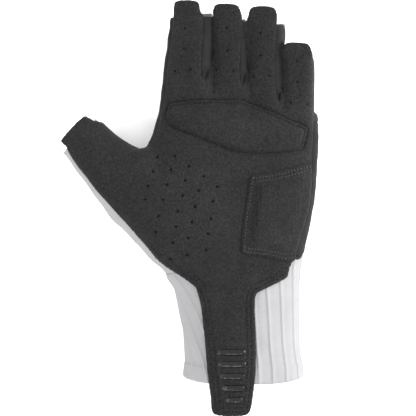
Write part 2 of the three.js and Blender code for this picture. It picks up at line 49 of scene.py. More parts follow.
# A distance beyond everything, and the height above which cloth faces up
FAR = 200
UPPER = 18

# Searching and cutting: plan cells, nearest line pieces tried, points round a section, and how
# near to an edge a point is moved onto it
CELL = 2.0
CANDIDATES = 12
DENSE = 720
SNAP = 0.22
INSET_PITCH = 0.8

# Cloth: the skin's cells, the wall, and how seams are pulled in, lapped and parted
VOXEL = 0.98
WALL = 1.3
SEAM_DEPTH = 0.45
SEAM_WIDTH = 1.1
SEAM_LAP = 0.4
SEAM_GAP = 0.05
SUEDE_VALLEY = (0.3, 0.6)
BACK_VALLEY = (0.15, 0.9)
BACK_GAP = 0.1
BACK_LAP = 0.15
SIDE_SUNK = 0.2
FLOOR_GAP = 0.02

# How far past its edge each panel is first cut out, and how far in its fine cells reach
SIDE_EDGE = (3, 1.5)
BACK_EDGE = (2, 1.2)

# Cell sizes near edges and holes, and how far from an edge, a row and a hole they reach
COARSE = 9.0
FINE = 0.345
PAD_CELL = 0.6
HOLE_EDGE = 0.2
EDGE_ZONE = 0.7
PAD_ZONE = 3.2
ROW_ZONE = 0.65
HOLE_ZONE = 1.0

# Unevenness of each cloth and edge: height, shortest and longest wave, count of waves, seed
WAVES = {
    "suede": (0.22, 9, 26, 26, SEED),
    "side": (0.12, 5, 14, 20, SEED + 1),
    "back": (0.3, 12, 34, 22, SEED + 2),
    "cuff": (0.2, 14, 40, 18, SEED + 3),
    "palm_pad": (0.1, 6, 16, 20, SEED + 4),
    "heel_pad": (0.08, 6, 18, 16, SEED + 5),
    "edge": (0.12, 0.9, 1.8, 12, 3),
    "tabs": (0.12, 0.9, 1.8, 12, 4),
}

# Punched holes, each with a dimple round it
HOLE_RADIUS = 0.78
HOLE_DEPTH = 1.0
FINGER_HOLE_LESS = 0.22
HOLE_SCATTER = 0.3
ROW_BOW = 0.02
HOLE_SIDES = (-0.2, 0.12)
DIMPLE = (0.2, 1.2)

# Tongue and wrist: how far the suede is lifted over the cuff, and where that ends
TONGUE_LIFT = 2.8
TONGUE_LIFT_ENDS = (-3, 15)
TONGUE_LIFT_ACROSS = (-8, 24)
WRIST_LIFT = 1.9
WRIST_LIFT_FADES = (1.5, 12)
WRIST_LIFT_ENDS = (17, 30)

# Cuff: its skin, its seam with the back, how it goes under the suede, its hem, and its ribs, each
# with a steep and a soft side
CUFF_HEM = -54
CUFF_TOP = 22.1
CUFF_STEP = 0.8
CUFF_COUNT = 460
CUFF_SEAM = ((-45, 36), (8.8, 19.2))
CUFF_SUNK = 0.35
CUFF_LAP = 4
CUFF_WHOLE = -2
CUFF_SHOWN = (-1.2, 0.6)
CUFF_GATHER = 3
HEM_BAND = 10
HEM_STEP = 0.6
HEM_PROUD = 0.5
HEM_ROUND = 1.2
HEM_BEND = 3.2
HEM_BEND_FROM = 25
HEM_BEND_ACROSS = (2, 34)
RIB_PITCH = 8.2
RIB_HEIGHT = 0.6
RIB_SIDES = (0.45, 1.3)
RIB_VALLEY = 0.042
RIB_SLANT = 0.002
SLANT_FROM = -18
SLANT_SIDE = (0.2, 0.42, 0.55, 0.7)
FIRST_RIB = (8.2, -12)
KNIT = (0.06, 1.5)

# Ends of the back's cloth at the finger mouths, and the heights over which its unevenness sets in
LIP_TOP = 21
LIP_LOW = 12
LIP_FALL = 2.2
LIP_FROM = 125
LIP_LEFT = -30
LIP_LAP = 0.3
LIP_ABSENT = -5
BACK_FLAT = (0.5, 6)

# Tucks at the crotches: lip, depth and the height from which they show
TUCK_LIP = (0.6, 1.5, 0.45)
TUCK_DEPTH = 1.4
TUCK_FROM = 12

# Pads: edge and rise over the palm, how their faces swell, and the mound of the thumb under them
PAD_DIPS = ((0.8, 0.9), (0.35, 2.6))
HEEL_DIP = (0.35, 0.8)
HEEL_GROOVE = (0.45, 0.45)
PAD_EDGE = 0.9
PAD_ROUND = 0.8
PAD_RISE = 2.3
PAD_SWELL = (1.2, 4.5)
PAD_ROW = (1.0, 0.62)
PAD_CLEAR = 0.03
PAD_SMOOTH = 3
HEEL_EDGE = 0.7
HEEL_ROUND = 0.5
HEEL_SWELL = 1.3
HEEL_SWELL_FROM = (3.8, 9.4)
MOUND = 3.4
MOUND_AT = (-36, 54)
MOUND_SPREAD = (20, 24)

# Stitches: where rows run, and the size, taper and setting of a stitch
ROW_GAP = 2.0
ROW_OFF_PAD = 0.3
STITCH_PITCH = 1.9
STITCH_LENGTH = 1.25
STITCH_RADIUS = 0.16
STITCH_PROUD = 0.03
STITCH_SIDES = 6
STITCH_STEPS = 5
STITCH_TAPER = 0.75
STITCH_SET = (0.4, 2.2)
STEEPEST = 0.3
SUEDE_ROWS_IN = (2.3, 4.7)

# Grip bars: size, place, the slope of the left end, waves of the face as height and rate along
# each way, and from edge to middle the share of the outline and the rise there
BARS = 5
BAR_CELL = 0.35
BAR_WAVES = ((0.09, 1.9), (0.07, 3.1))
BAR_LEAST = (0.12, 0.1)
BAR_LENGTH = 16.6
BAR_SHORTER = 0.425
BAR_WIDTH = 3.4
BAR_CORNER = 1.2
BAR_RISE = 1.1
BAR_PITCH = 6.9
BAR_DRIFT = 0.42
BAR_SLOPE = 0.75
BAR_SLOPE_LENGTH = 2.4
FIRST_BAR = (-5.2, -35.3)
BAR_PROFILE = [(1, -0.35), (0.99, 0.25), (0.93, 0.5), (0.83, 0.7), (0.7, 0.85), (0.54, 0.95), (0.36, 1.01),
               (0.18, 1.03)]


def columns(names, *rows):
    """A table of rows as one array for each named column."""
    values = np.array(rows, float)
    return {name: values[:, i] for i, name in enumerate(names.split())}


# Sections of the cuff and the hand, from past the hem to the finger roots
HAND = columns(
    "y left right lift top power dip",
    (-80, -30.2, 34.5, 0, 31.4, 2.3, 0),
    (-54, -32.1, 36.4, 0, 32.7, 2.3, 0),
    (-43.5, -31.7, 35.8, 0, 33, 2.3, 0),
    (-34.6, -32.1, 34.7, 0, 32.7, 2.3, 0),
    (-21.3, -33.4, 34.1, 0, 32.4, 2.3, 0),
    (-6.4, -36.3, 34.1, 0, 32.5, 2.3, 0),
    (3.1, -39.6, 34.4, 0, 33, 2.3, 0),
    (7.5, -42.3, 34.8, 0, 33.4, 2.3, 0),
    (12.5, -45.5, 35.2, 0, 34, 2.3, 0),
    (21.8, -48.6, 37.6, 0, 35.4, 2.4, 0.9),
    (37.4, -50, 41, 0, 35, 2.5, 2.4),
    (55.1, -51, 44, 0, 33, 2.6, 3),
    (71.8, -54, 45.3, 0, 31.3, 2.7, 2.1),
    (79, -56.6, 45.8, 0, 31, 2.7, 1.4),
    (83.2, -54.6, 46, 0, 30.8, 2.8, 1),
    (88.4, -51.9, 46.1, 0, 30.6, 2.8, 0.6),
    (93, -50.4, 46, 0, 30, 2.8, 0.3),
    (98.8, -48.7, 45.7, 0, 28.9, 2.8, 0),
    (104, -47.3, 42.8, 1.4, 27.2, 2.8, 0),
    (109.2, -46.6, 20, 4, 26.2, 2.8, 0),
    (116.5, -45.6, 17, 8.8, 24.8, 2.8, 0),
)

# Silhouettes of the fingers on the floor plan
FINGERS = {
    "index": dict(
        edges=columns("y left right", (92, -47.2, -8), (105, -47.1, -10), (117.7, -45.7, -12.6),
                      (124, -45.1, -13.8), (130.5, -44.3, -14.2), (142.1, -42.7, -14),
                      (152, -41.5, -13.9), (158, -40.9, -13.9), (176, -40.1, -14)),
        roll=18, mouth=158.2, back=161.2, raised=0,
    ),
    "middle": dict(
        edges=columns("y left right", (92, -21, 11), (105, -20, 9.5), (117.7, -18.4, 7.6),
                      (124, -17.5, 6.9), (128.8, -17, 6.5), (134.6, -16, 6.1), (150.8, -15.8, 5.2),
                      (160.5, -15.3, 4.6), (176, -15, 4)),
        roll=9, mouth=155.6, back=157.9, raised=0.6,
    ),
    "ring": dict(
        edges=columns("y left right", (92, -2, 32), (105, 0.5, 29.6), (113, 2, 27.6),
                      (118.7, 3.2, 26.4), (128.8, 4.7, 26), (136.6, 4.2, 26),
                      (143.8, 3.1, 26.4), (153.5, 2.6, 26.8), (171, 2.4, 26.6)),
        roll=12, mouth=153.2, back=155, raised=2.2,
    ),
    "little": dict(
        edges=columns("y left right", (92, 21.5, 44), (104.8, 22.6, 43.4), (112, 23.6, 43.8),
                      (118.9, 23.6, 43.9), (126, 23.5, 43.6), (133, 23.9, 43.2),
                      (138, 24.2, 42.3), (157, 24.6, 41.4)),
        roll=5, mouth=132.2, back=134.4, raised=1.6,
    ),
}

# Fingers: where their lofts start, where they leave the hand and how far past the mouth they go,
# their depths at the root and the mouth, the height of their middles and how it rises
FINGER_START = 92
FINGER_ROOT = 104
FINGER_PAST = 17
FINGER_DEPTH = (25, 18.5)
FINGER_MIDDLE = 14
FINGER_RISE = 4
FINGER_BEND = 1.5
FINGER_FLOOR = 0.6

# Where the mouths of the fingers and the thumb can be, and a distance well inside them
MOUTHS_FROM = 115
THUMB_FROM = -60
WELL_INSIDE = 40

# Roundness of the sections, how far the hand is pressed on the floor, and the palm's dip
FINGER_POWER = 3.2
THUMB_POWER = 2.5
WEB_POWER = 2.3
FLOOR_PRESS = 1.5
DIP_SPREAD = 0.45

# The little finger's tab is a thin slab past the mouth; beside it the ring finger's wall is whole
SLAB_START = 135
SLAB_EASE = 1.2
SLAB_PAST = 13
SLAB_DEPTH = 6
SLAB_LEFT = 23.4
SLAB_MIDDLE = ((135, 144), (26.4, 27.7))
RING_WALL = (27.4, 23.5)

# The thumb in its own directions: along to its mouth, and side to the index finger
THUMB_ROOT = np.array([-28.0, 30.2])
THUMB_ANGLE = math.radians(137.6)
THUMB_LENGTH = 86
THUMB = columns(
    "along outer inner bottom top",
    (0, -24.8, 16, 1, 33), (10.3, -25.3, 21.4, 1, 34), (24.9, -24, 25.4, 1.4, 33),
    (42.1, -22.9, 23.4, 1.7, 30.9), (55, -21.2, 18.6, 2, 29.2), (67.1, -18.4, 15, 2.7, 27.5),
    (77.8, -15.6, 14.3, 3.4, 26.2), (86, -14.1, 14.6, 4.1, 24.8), (94.6, -13.9, 14.4, 4.4, 24.1),
    (106, -13.8, 14.2, 4.6, 23.8),
)
THUMB_BACK_PAST = 2.5

# The web of cloth between the thumb and the index finger
WEB_MIDDLE = -57.2
WEB_LEAN = 0.1
WEB = columns("y half bottom top", (66, 13, 2, 31), (72, 12, 2.5, 30.8), (77, 10.5, 4, 30),
              (80, 8.8, 6, 28.5), (81.8, 6.8, 8.5, 26.5), (82.5, 4, 12, 23))

# Where the thumb's root is smoothed into the hand: in and out again across and along, and up
ROOT_ACROSS = ((-82, -66), (-16, -32))
ROOT_ALONG = ((7, 16), (84, 70))
ROOT_UP = (12, 20)
SMOOTHING = 8
ROOT_SMOOTHING = 70

# Points round each loft, its ends and the distance between its sections
HAND_ENDS = (-78, 116.6)
THUMB_ENDS = (0, 105)
HAND_COUNT = 220
THUMB_COUNT = 120
WEB_COUNT = 60
WEB_SECTIONS = 14
FINGER_COUNT = 110
LOFT_STEP = 2.0

# Heights of the seams
BACK_SEAM = columns("y z", (-94, 10.9), (62, 10.9), (99, 9.9), (120, 9.6), (161, 11.2), (198, 12))
SIDE_SEAM = columns("y z", (93.6, 16.5), (124.8, 18), (161, 20.7), (198, 23.1))

# Ends of the finger fronts, with their pull tabs
TABS = {
    "index": [(-40.6, 157.2), (-38.9, 159.6), (-38.6, 165.6), (-37.4, 167.6), (-31, 167.9),
              (-25, 166.9), (-23.8, 165.2), (-23.1, 161), (-20.8, 158.4)],
    "middle": [(-16, 157.6), (-15.8, 160.8), (-15.1, 164.4), (-13.5, 165.5), (-9.5, 165.7),
               (-2.2, 165), (-0.1, 163), (1.1, 158.9), (2, 155.4)],
    "ring": [(2.7, 154), (4.1, 157), (5.4, 162), (7, 163.6), (11.3, 164.2), (18.6, 163.5),
             (20.7, 161.7), (21.8, 157.6), (22.8, 153.4)],
    "little": [(23.6, 136.5), (25.1, 141), (26.5, 142.8), (30.6, 143.4), (36.6, 143.1),
               (39.8, 141.8), (41.3, 138.8), (42.7, 134.4), (43.6, 131.8)],
}

# The crotches, seen from above: down one finger's front seam, round, and up the next finger's edge
CROTCHES = {
    "index_middle": [(-21, 158), (-21.8, 143.8), (-22.5, 132.8), (-22.8, 128.2), (-22.2, 124.3),
                     (-21.3, 122.3), (-20.1, 121.5), (-18.7, 122.6), (-17.7, 125.3), (-17.2, 128.8),
                     (-16.4, 132.2), (-16, 136), (-16, 150.8), (-15.5, 160.5)],
    "middle_ring": [(1.4, 155.4), (0.9, 145), (0.2, 136.3), (-0.3, 128.8), (-0.3, 123),
                    (0.7, 119.9), (2.3, 118.7), (4, 120), (4.8, 123.2), (4.6, 128.8),
                    (4, 136.6), (2.9, 143.8), (2.4, 153.5)],
    "ring_little": [(21.5, 153), (20.7, 143.8), (20.2, 133.4), (20, 125.9), (20.6, 117.2),
                    (21.4, 111.2), (22.6, 108.1), (23.7, 109.6), (23.9, 113.1), (23.3, 118.9),
                    (23.3, 125.9), (24, 138), (24.8, 142.4), (26.3, 144.6), (34, 145.4)],
}

# Side walls: how far they reach under the crotch and round each finger, and the part of the first
# finger's wall that is tucked under the next finger
CROTCH_UNDER = 8
CROTCH_REACH = 0.6
TUCKED_WALL = 3
TUCKED_RISE = 1.6
TUCKED_FROM = 14

# The seam of the band on the index finger's outer side, down to the thumb's crotch
BAND_SEAM = [(-38.8, 160), (-39, 157.3), (-39.3, 152), (-40.5, 142.1), (-42.2, 130.5),
             (-43.6, 117.7), (-44.8, 107.3), (-46.1, 101.5), (-47.9, 94), (-49.6, 88.4),
             (-52, 83.9), (-54.8, 81.6), (-58.4, 80.6)]
BAND_OUTSIDE = [(-60, 86), (-70, 115), (-70, 200), (-38.6, 200)]

# The seam of the side panel under the little finger
ULNAR_SEAM = [(30.8, 18.2), (32.4, 23), (34, 28.4), (37.8, 38.9), (39.7, 45.8), (41, 55.1), (41.8, 65.5),
              (42.3, 74.9), (42.5, 87.4), (43.1, 101)]
ULNAR_END = [(31.3, 18.7), (32.3, 18), (34, 18), (36.5, 19.4), (38.6, 22.6)]

# The suede's outer edge: along the thumb, the wrist and the tongue
THUMB_EDGE = [(-99.4, 79.6), (-97.6, 76.2), (-91.4, 67.9), (-85.8, 60.8), (-77.1, 51), (-69.7, 42.7),
              (-61.9, 34.5), (-57.5, 29), (-52.2, 24.2), (-48.5, 20.1), (-44, 15.9)]
WRIST_LEFT = [(-37, 11.1), (-29.6, 6), (-25.5, 2.6)]
TONGUE_LEFT = [(-24.3, 0), (-22.4, -6.8), (-21.3, -13.2), (-20.3, -22.6), (-19.2, -33.6), (-18.4, -45),
               (-17.3, -54.5), (-16.3, -63.2)]
TONGUE_END = [(-16.1, -68.2), (-15.2, -70.6), (-12.6, -71.8), (-9, -72.1), (-4, -72.2), (2, -71.9),
              (4.6, -70.7), (6.2, -67.8)]
TONGUE_RIGHT = [(7.4, -59.7), (8.1, -52.2), (8.8, -43), (8.8, -33.6), (8.4, -22.6), (8, -11.6),
                (8.2, -4)]
WRIST_RIGHT = [(9.2, -1.4), (12.2, 0.3), (19.3, 3.8), (25.8, 7.2), (26.9, 8.5), (27.2, 10.5),
               (27.9, 14.2), (29.8, 17.4)]
THUMB_TAB = [(-99.6, 82.1), (-103.5, 87.4), (-90.8, 101.3), (-88, 100.2), (-84.6, 98.1), (-81.6, 98),
             (-79.7, 97.2)]

# Pads
PALM_PAD_TOP = [(-42.2, 105), (-41.6, 107.6), (-39.7, 108.8), (-33.8, 109.4), (-25.7, 110), (-17.2, 110.3),
                (-8.8, 110), (-1.5, 110.4), (2.8, 109.6), (8.7, 106.9), (15.7, 104.2), (22.8, 101.5),
                (29.9, 98), (37.6, 95.1), (39.3, 94), (39.3, 92.2), (38.3, 88.2), (36.9, 82.6)]
PALM_PAD_FOOT = [(35.6, 81), (29.9, 80.2), (22.6, 79.6), (12.2, 79.2), (3.4, 79.4), (-4.6, 81),
                 (-8.8, 82.4), (-15.8, 85.3), (-22.9, 88.4), (-29.9, 90.9), (-36.9, 94),
                 (-41.6, 96.8), (-42.8, 99), (-42.7, 102)]
HEEL_PAD_TOP = [(5.2, 62.8), (5.6, 65.4), (7.4, 66.7), (12.2, 67.2), (22.8, 69), (33.4, 71.9),
                (42, 73.9)]
HEEL_PAD_RIGHT = [(42, 72), (41.8, 65.5), (41.1, 55.1), (39.7, 45.8), (37.6, 38.9), (34, 28.4), (31.1, 18.8)]
HEEL_PAD_FOOT = [(30.4, 17.2), (27, 16.4), (18, 18.6), (10.7, 19.8), (5.2, 20), (2, 20.9),
                 (0.5, 22.8)]
HEEL_PAD_LEFT = [(0.3, 25.2), (0.9, 30.5), (1.7, 40.9), (3.1, 49.4), (4.6, 58)]

# Tucks at the crotches: place, lean in degrees, half length and half width
CROTCH_TUCKS = [(-19.2, 125.2, -20, 3.3, 1.05), (2.5, 122.6, -14, 3, 0.95), (22.9, 112.2, -6, 2.4, 0.65)]

# Rows of holes on the thumb's mound: ends and count
HOLE_ROWS = [
    ((-47.7, 76.8), (-54.6, 52), 4),
    ((-37.4, 77.7), (-47.9, 34.2), 6),
    ((-29.1, 71.7), (-39.6, 19), 7),
    ((-21.6, 65.9), (-30.8, 21.2), 6),
    ((-13.6, 59.8), (-19.7, 23.3), 5),
]
FINGER_HOLES = [(-31.9, 151.7), (-32.5, 139.9), (-37.7, 127), (-28.7, 127.6), (-7.9, 151.6), (-7.5, 138.8),
                (-13.9, 127.6), (-3.9, 126.6), (11.9, 148.7), (11.6, 135.7), (7.7, 123.4), (16.6, 123.8),
                (32.7, 132.4), (33.1, 120.2), (29.2, 108.5), (38.9, 107.5)]


# Curves and distances
def smooth_at(table, key, at, over="y"):
    """One column of a table on a smooth curve, read at every distance in at."""
    xs, ys = table[over], table[key]
    slopes = np.gradient(ys, xs)
    at = np.clip(at, xs[0], xs[-1])
    i = np.clip(np.searchsorted(xs, at) - 1, 0, len(xs) - 2)
    step = xs[i + 1] - xs[i]
    t = (at - xs[i]) / step
    return (
        ys[i] * (2 * t**3 - 3 * t**2 + 1)
        + ys[i + 1] * (3 * t**2 - 2 * t**3)
        + slopes[i] * step * (t**3 - 2 * t**2 + t)
        + slopes[i + 1] * step * (t**3 - t**2)
    )


def smoothstep(low, high, x):
    """0 at low, 1 at high and soft between; low may be the greater of the two."""
    t = np.clip((x - low) / (high - low), 0, 1)
    return t * t * (3 - 2 * t)


def softened(line, closed, rounds=2):
    """A line with its corners cut off again and again, which rounds them."""
    p = np.array(line, float)
    for _ in range(rounds):
        q = np.roll(p, -1, 0) if closed else p[1:]
        a = p if closed else p[:-1]
        cut = np.stack([a * 0.75 + q * 0.25, a * 0.25 + q * 0.75], 1).reshape(-1, 2)
        p = cut if closed else np.concatenate([p[:1], cut[1:-1], p[-1:]])
    return p


def cells_of(points):
    """The coarse plan cells that hold the points: their middles, and each point's cell."""
    key = np.floor(points[:, :2] / CELL).astype(np.int64) + 1000
    code, cell = np.unique(key[:, 0] * 4096 + key[:, 1], return_inverse=True)
    return (np.column_stack([code // 4096, code % 4096]) - 999.5) * CELL, cell.ravel()


def line_distance(points, line, closed=False, reach=4.0):
    """Distance on the floor plan to a line and how far along it that is, rough beyond reach."""
    middles, cell = cells_of(points)
    a = line if closed else line[:-1]
    d = (np.roll(line, -1, 0) if closed else line[1:]) - a
    size = np.maximum(np.hypot(*d.T), 1e-9)
    start = np.concatenate([[0], np.cumsum(size)[:-1]])

    def measure(x, y, s):
        t = np.clip(((x - a[s, 0]) * d[s, 0] + (y - a[s, 1]) * d[s, 1]) / size[s] ** 2, 0, 1)
        return np.hypot(x - a[s, 0] - t * d[s, 0], y - a[s, 1] - t * d[s, 1]), start[s] + t * size[s]

    rough, place = measure(middles[:, :1], middles[:, 1:], np.arange(len(a))[None])
    count = min(CANDIDATES, len(a))
    order = np.argpartition(rough, count - 1, axis=1)[:, :count]
    rows, first = np.arange(len(middles)), rough.argmin(1)
    gap, where = rough[rows, first][cell], place[rows, first][cell]
    close = gap < reach + CELL
    x, y, c = points[close, 0], points[close, 1], cell[close]
    best, spot = np.full(len(x), 1e9), np.zeros(len(x))
    for k in range(count):
        g, w = measure(x, y, order[c, k])
        near = g < best
        best, spot = np.where(near, g, best), np.where(near, w, spot)
    gap[close], where[close] = best, spot
    return gap, where


def enclosed(points, polygon):
    """Whether points lie inside an outline on the floor plan."""
    inside = np.zeros(len(points), bool)
    for a, b in zip(polygon, np.roll(polygon, -1, 0)):
        if a[1] == b[1]:
            continue
        crosses = (a[1] > points[:, 1]) != (b[1] > points[:, 1])
        x = a[0] + (points[:, 1] - a[1]) * (b[0] - a[0]) / (b[1] - a[1])
        inside ^= crosses & (points[:, 0] < x)
    return inside


def within(points, polygon, reach=4.0):
    """Signed distance on the floor plan to a closed outline, positive inside it."""
    gap, _ = line_distance(points, polygon, True, reach)
    middles, cell = cells_of(points)
    inside = enclosed(middles, polygon)[cell]
    unsure = gap < 1.5 * CELL
    inside[unsure] = enclosed(points[unsure], polygon)
    return np.where(inside, gap, -gap)


def spaced(line, pitch):
    """Points along a line at an even pitch."""
    steps = np.hypot(*np.diff(line, axis=0).T)
    along = np.concatenate([[0], np.cumsum(steps)])
    at = np.linspace(0, along[-1], max(2, round(along[-1] / pitch) + 1))
    return np.stack([np.interp(at, along, line[:, 0]), np.interp(at, along, line[:, 1])], 1)


def inset(line, distance):
    """An open line moved to its left by a distance."""
    p = spaced(np.array(line, float), INSET_PITCH)
    d = np.gradient(p, axis=0)
    d /= np.hypot(*d.T)[:, None]
    return p + np.stack([-d[:, 1], d[:, 0]], 1) * distance


def uneven(points, cloth):
    """Soft random unevenness of a cloth, a sum of plane waves between two wavelengths."""
    height, low, high, count, seed = WAVES[cloth]
    random = np.random.default_rng(seed)
    total = np.zeros(len(points))
    for _ in range(count):
        length = random.uniform(low, high)
        direction = random.normal(size=3)
        direction *= 2 * math.pi / length / np.linalg.norm(direction)
        total += np.sin(points @ direction + random.uniform(0, 2 * math.pi))
    return height * total / math.sqrt(count)


# Sections and lofts
def section(left, right, bottom, top, power, roll, dip, count):
    """One closed section: a rounded box, rolled about its middle, fitted to its width and height."""
    angle = np.linspace(0, 2 * math.pi, DENSE, endpoint=False)
    half = np.hypot(*(right - left)) / 2
    rise = (top - bottom) / 2
    turn = math.radians(roll)
    c, s = np.cos(angle), np.sin(angle)
    flat = half * np.sign(c) * np.abs(c) ** (2 / power)
    up = rise * np.sign(s) * np.abs(s) ** (2 / power)
    across = flat * math.cos(turn) - up * math.sin(turn)
    height = flat * math.sin(turn) + up * math.cos(turn)
    u = across / across.max() * half
    z = (bottom + top) / 2 + height / height.max() * rise
    z = z - np.where(height > 0, dip * np.exp(-((u / (DIP_SPREAD * half)) ** 2)), 0)
    z = np.maximum(z, 0)
    direction = (right - left) / (2 * half)
    middle = (left + right) / 2
    dense = np.column_stack([middle[0] + direction[0] * u, middle[1] + direction[1] * u, z])
    closed = np.vstack([dense, dense[:1]])
    along = np.concatenate([[0], np.cumsum(np.linalg.norm(np.diff(closed, axis=0), axis=1))])
    at = np.linspace(0, along[-1], count, endpoint=False)
    return np.column_stack([np.interp(at, along, closed[:, i]) for i in range(3)])


def loft(rings):
    """A closed mesh through rings of equal count."""
    count = len(rings[0])
    points = np.vstack([*rings, rings[0].mean(0)[None], rings[-1].mean(0)[None]])
    faces = []
    last = (len(rings) - 1) * count
    for a in range(0, last, count):
        for i in range(count):
            j = (i + 1) % count
            faces.append((a + i, a + j, a + count + j, a + count + i))
    for i in range(count):
        j = (i + 1) % count
        faces.append((len(points) - 2, j, i))
        faces.append((len(points) - 1, last + i, last + j))
    return points, faces


def row_at(table, at, over="y"):
    """All columns of a table at one distance."""
    return {k: float(smooth_at(table, k, np.array([at]), over)[0]) for k in table if k != over}


def hand_ring(y, count):
    value = row_at(HAND, y)
    return section(
        np.array([value["left"], y]), np.array([value["right"], y]), value["lift"] - FLOOR_PRESS,
        value["top"], value["power"], 0, value["dip"], count,
    )


def finger_box(finger, y):
    """A finger's sections: left, right, height of the middle, depth and roll in degrees."""
    t = (y - FINGER_ROOT) / (finger["mouth"] - FINGER_ROOT)
    depth = FINGER_DEPTH[0] + (FINGER_DEPTH[1] - FINGER_DEPTH[0]) * np.clip(t, 0, 1)
    middle = FINGER_MIDDLE + FINGER_RISE * np.clip(t, 0, 1.3) ** FINGER_BEND
    middle = middle + finger["raised"] * smoothstep(0, 0.6, t)
    roll = finger["roll"] * smoothstep(-0.1, 0.5, t)
    edges = finger["edges"]
    return smooth_at(edges, "left", y), smooth_at(edges, "right", y), middle, depth, roll


def finger_ring(finger, y, count):
    left, right, middle, depth, roll = (float(v[0]) for v in finger_box(finger, np.array([y])))
    low, high = max(FINGER_FLOOR, middle - depth / 2), middle + depth / 2
    if finger is FINGERS["little"]:
        low += float(smoothstep(0, SLAB_EASE, y - SLAB_START)) * (high - SLAB_DEPTH - low)
    return section(np.array([left, y]), np.array([right, y]), low, high, FINGER_POWER, roll, 0, count)


def thumb_place(along, side):
    c, s = math.cos(THUMB_ANGLE), math.sin(THUMB_ANGLE)
    return THUMB_ROOT + along * np.array([c, s]) + side * np.array([s, -c])


def thumb_ring(along, count):
    value = row_at(THUMB, along, "along")
    return section(
        thumb_place(along, value["outer"]), thumb_place(along, value["inner"]), value["bottom"],
        value["top"], THUMB_POWER, 0, 0, count,
    )


def web_ring(y, count):
    value = row_at(WEB, y)
    half = np.array([value["half"], WEB_LEAN * value["half"]])
    middle = np.array([WEB_MIDDLE, y])
    return section(middle - half, middle + half, value["bottom"], value["top"], WEB_POWER, 0, 0, count)


def base_form():
    """The whole outer form as one smooth skin, in millimetres: points and triangles."""
    web = np.linspace(WEB["y"][0], WEB["y"][-1], WEB_SECTIONS)
    lofts = [
        loft([hand_ring(y, HAND_COUNT) for y in np.arange(*HAND_ENDS, LOFT_STEP)]),
        loft([thumb_ring(along, THUMB_COUNT) for along in np.arange(*THUMB_ENDS, LOFT_STEP)]),
        loft([web_ring(y, WEB_COUNT) for y in web]),
    ]
    for finger in FINGERS.values():
        past = SLAB_PAST if finger is FINGERS["little"] else FINGER_PAST
        ends = np.arange(FINGER_START, finger["mouth"] + past, LOFT_STEP)
        lofts.append(loft([finger_ring(finger, y, FINGER_COUNT) for y in ends]))
    points, faces = [], []
    for p, f in lofts:
        start = sum(len(q) for q in points)
        points.append(p)
        faces += [tuple(i + start for i in face) for face in f]
    mesh = bpy.data.meshes.new("form")
    mesh.from_pydata((np.vstack(points) * MM).tolist(), [], faces)
    form = bpy.data.objects.new("form", mesh)
    bpy.context.scene.collection.objects.link(form)
    remesh = form.modifiers.new("remesh", "REMESH")
    remesh.mode = "VOXEL"
    remesh.voxel_size = VOXEL * MM
    bpy.context.view_layer.update()
    made = form.evaluated_get(bpy.context.evaluated_depsgraph_get()).to_mesh()
    made.calc_loop_triangles()
    p = np.zeros(len(made.vertices) * 3)
    t = np.zeros(len(made.loop_triangles) * 3, np.int64)
    made.vertices.foreach_get("co", p)
    made.loop_triangles.foreach_get("vertices", t)
    p, t = p.reshape(-1, 3) / MM, t.reshape(-1, 3)
    bpy.data.objects.remove(form)
    bpy.data.meshes.remove(mesh)
    p = relaxed(p, t, SMOOTHING)
    x, y, z = p.T
    root = smoothstep(*ROOT_UP, z)
    for across, along in zip(ROOT_ACROSS, ROOT_ALONG):
        root *= smoothstep(*across, x) * smoothstep(*along, y)
    return relaxed(p, t, ROOT_SMOOTHING, (0.5,), root[:, None]), t


def edges_of(triangles, total):
    """Each edge once, and for each triangle the numbers of its three edges."""
    sides = np.sort(np.stack([triangles, np.roll(triangles, -1, 1)], 2).reshape(-1, 2), axis=1)
    code, flat = np.unique(sides[:, 0] * total + sides[:, 1], return_inverse=True)
    return np.column_stack([code // total, code % total]), flat.reshape(-1, 3)


def relaxed(points, triangles, rounds, shares=(0.5, -0.52), held=1.0):
    """The points moved towards their neighbours and back again, which smooths without shrinking."""
    ends, _ = edges_of(triangles, len(points))
    one, two = np.concatenate([ends[:, 0], ends[:, 1]]), np.concatenate([ends[:, 1], ends[:, 0]])
    p = points.copy()
    near = np.bincount(one, minlength=len(p))
    for share in [*shares] * rounds:
        total = np.column_stack([np.bincount(one, p[two, i], len(p)) for i in range(3)])
        p += share * held * (total / near[:, None] - p)
    return p


def normals_of(points, triangles):
    a, b, c = (points[triangles[:, i]] for i in range(3))
    face = np.cross(b - a, c - a)
    spread = np.tile(face, (3, 1))
    total = np.column_stack([np.bincount(triangles.T.ravel(), spread[:, i], len(points)) for i in range(3)])
    return total / np.maximum(np.linalg.norm(total, axis=1), 1e-12)[:, None]


# Cutting and refining a skin, which is its points, normals and triangles
def kept(skin, wanted):
    """The part of a skin made of some of its triangles, without loose points."""
    points, normals, triangles = skin
    used, flat = np.unique(triangles[wanted], return_inverse=True)
    return points[used], normals[used], flat.reshape(-1, 3)


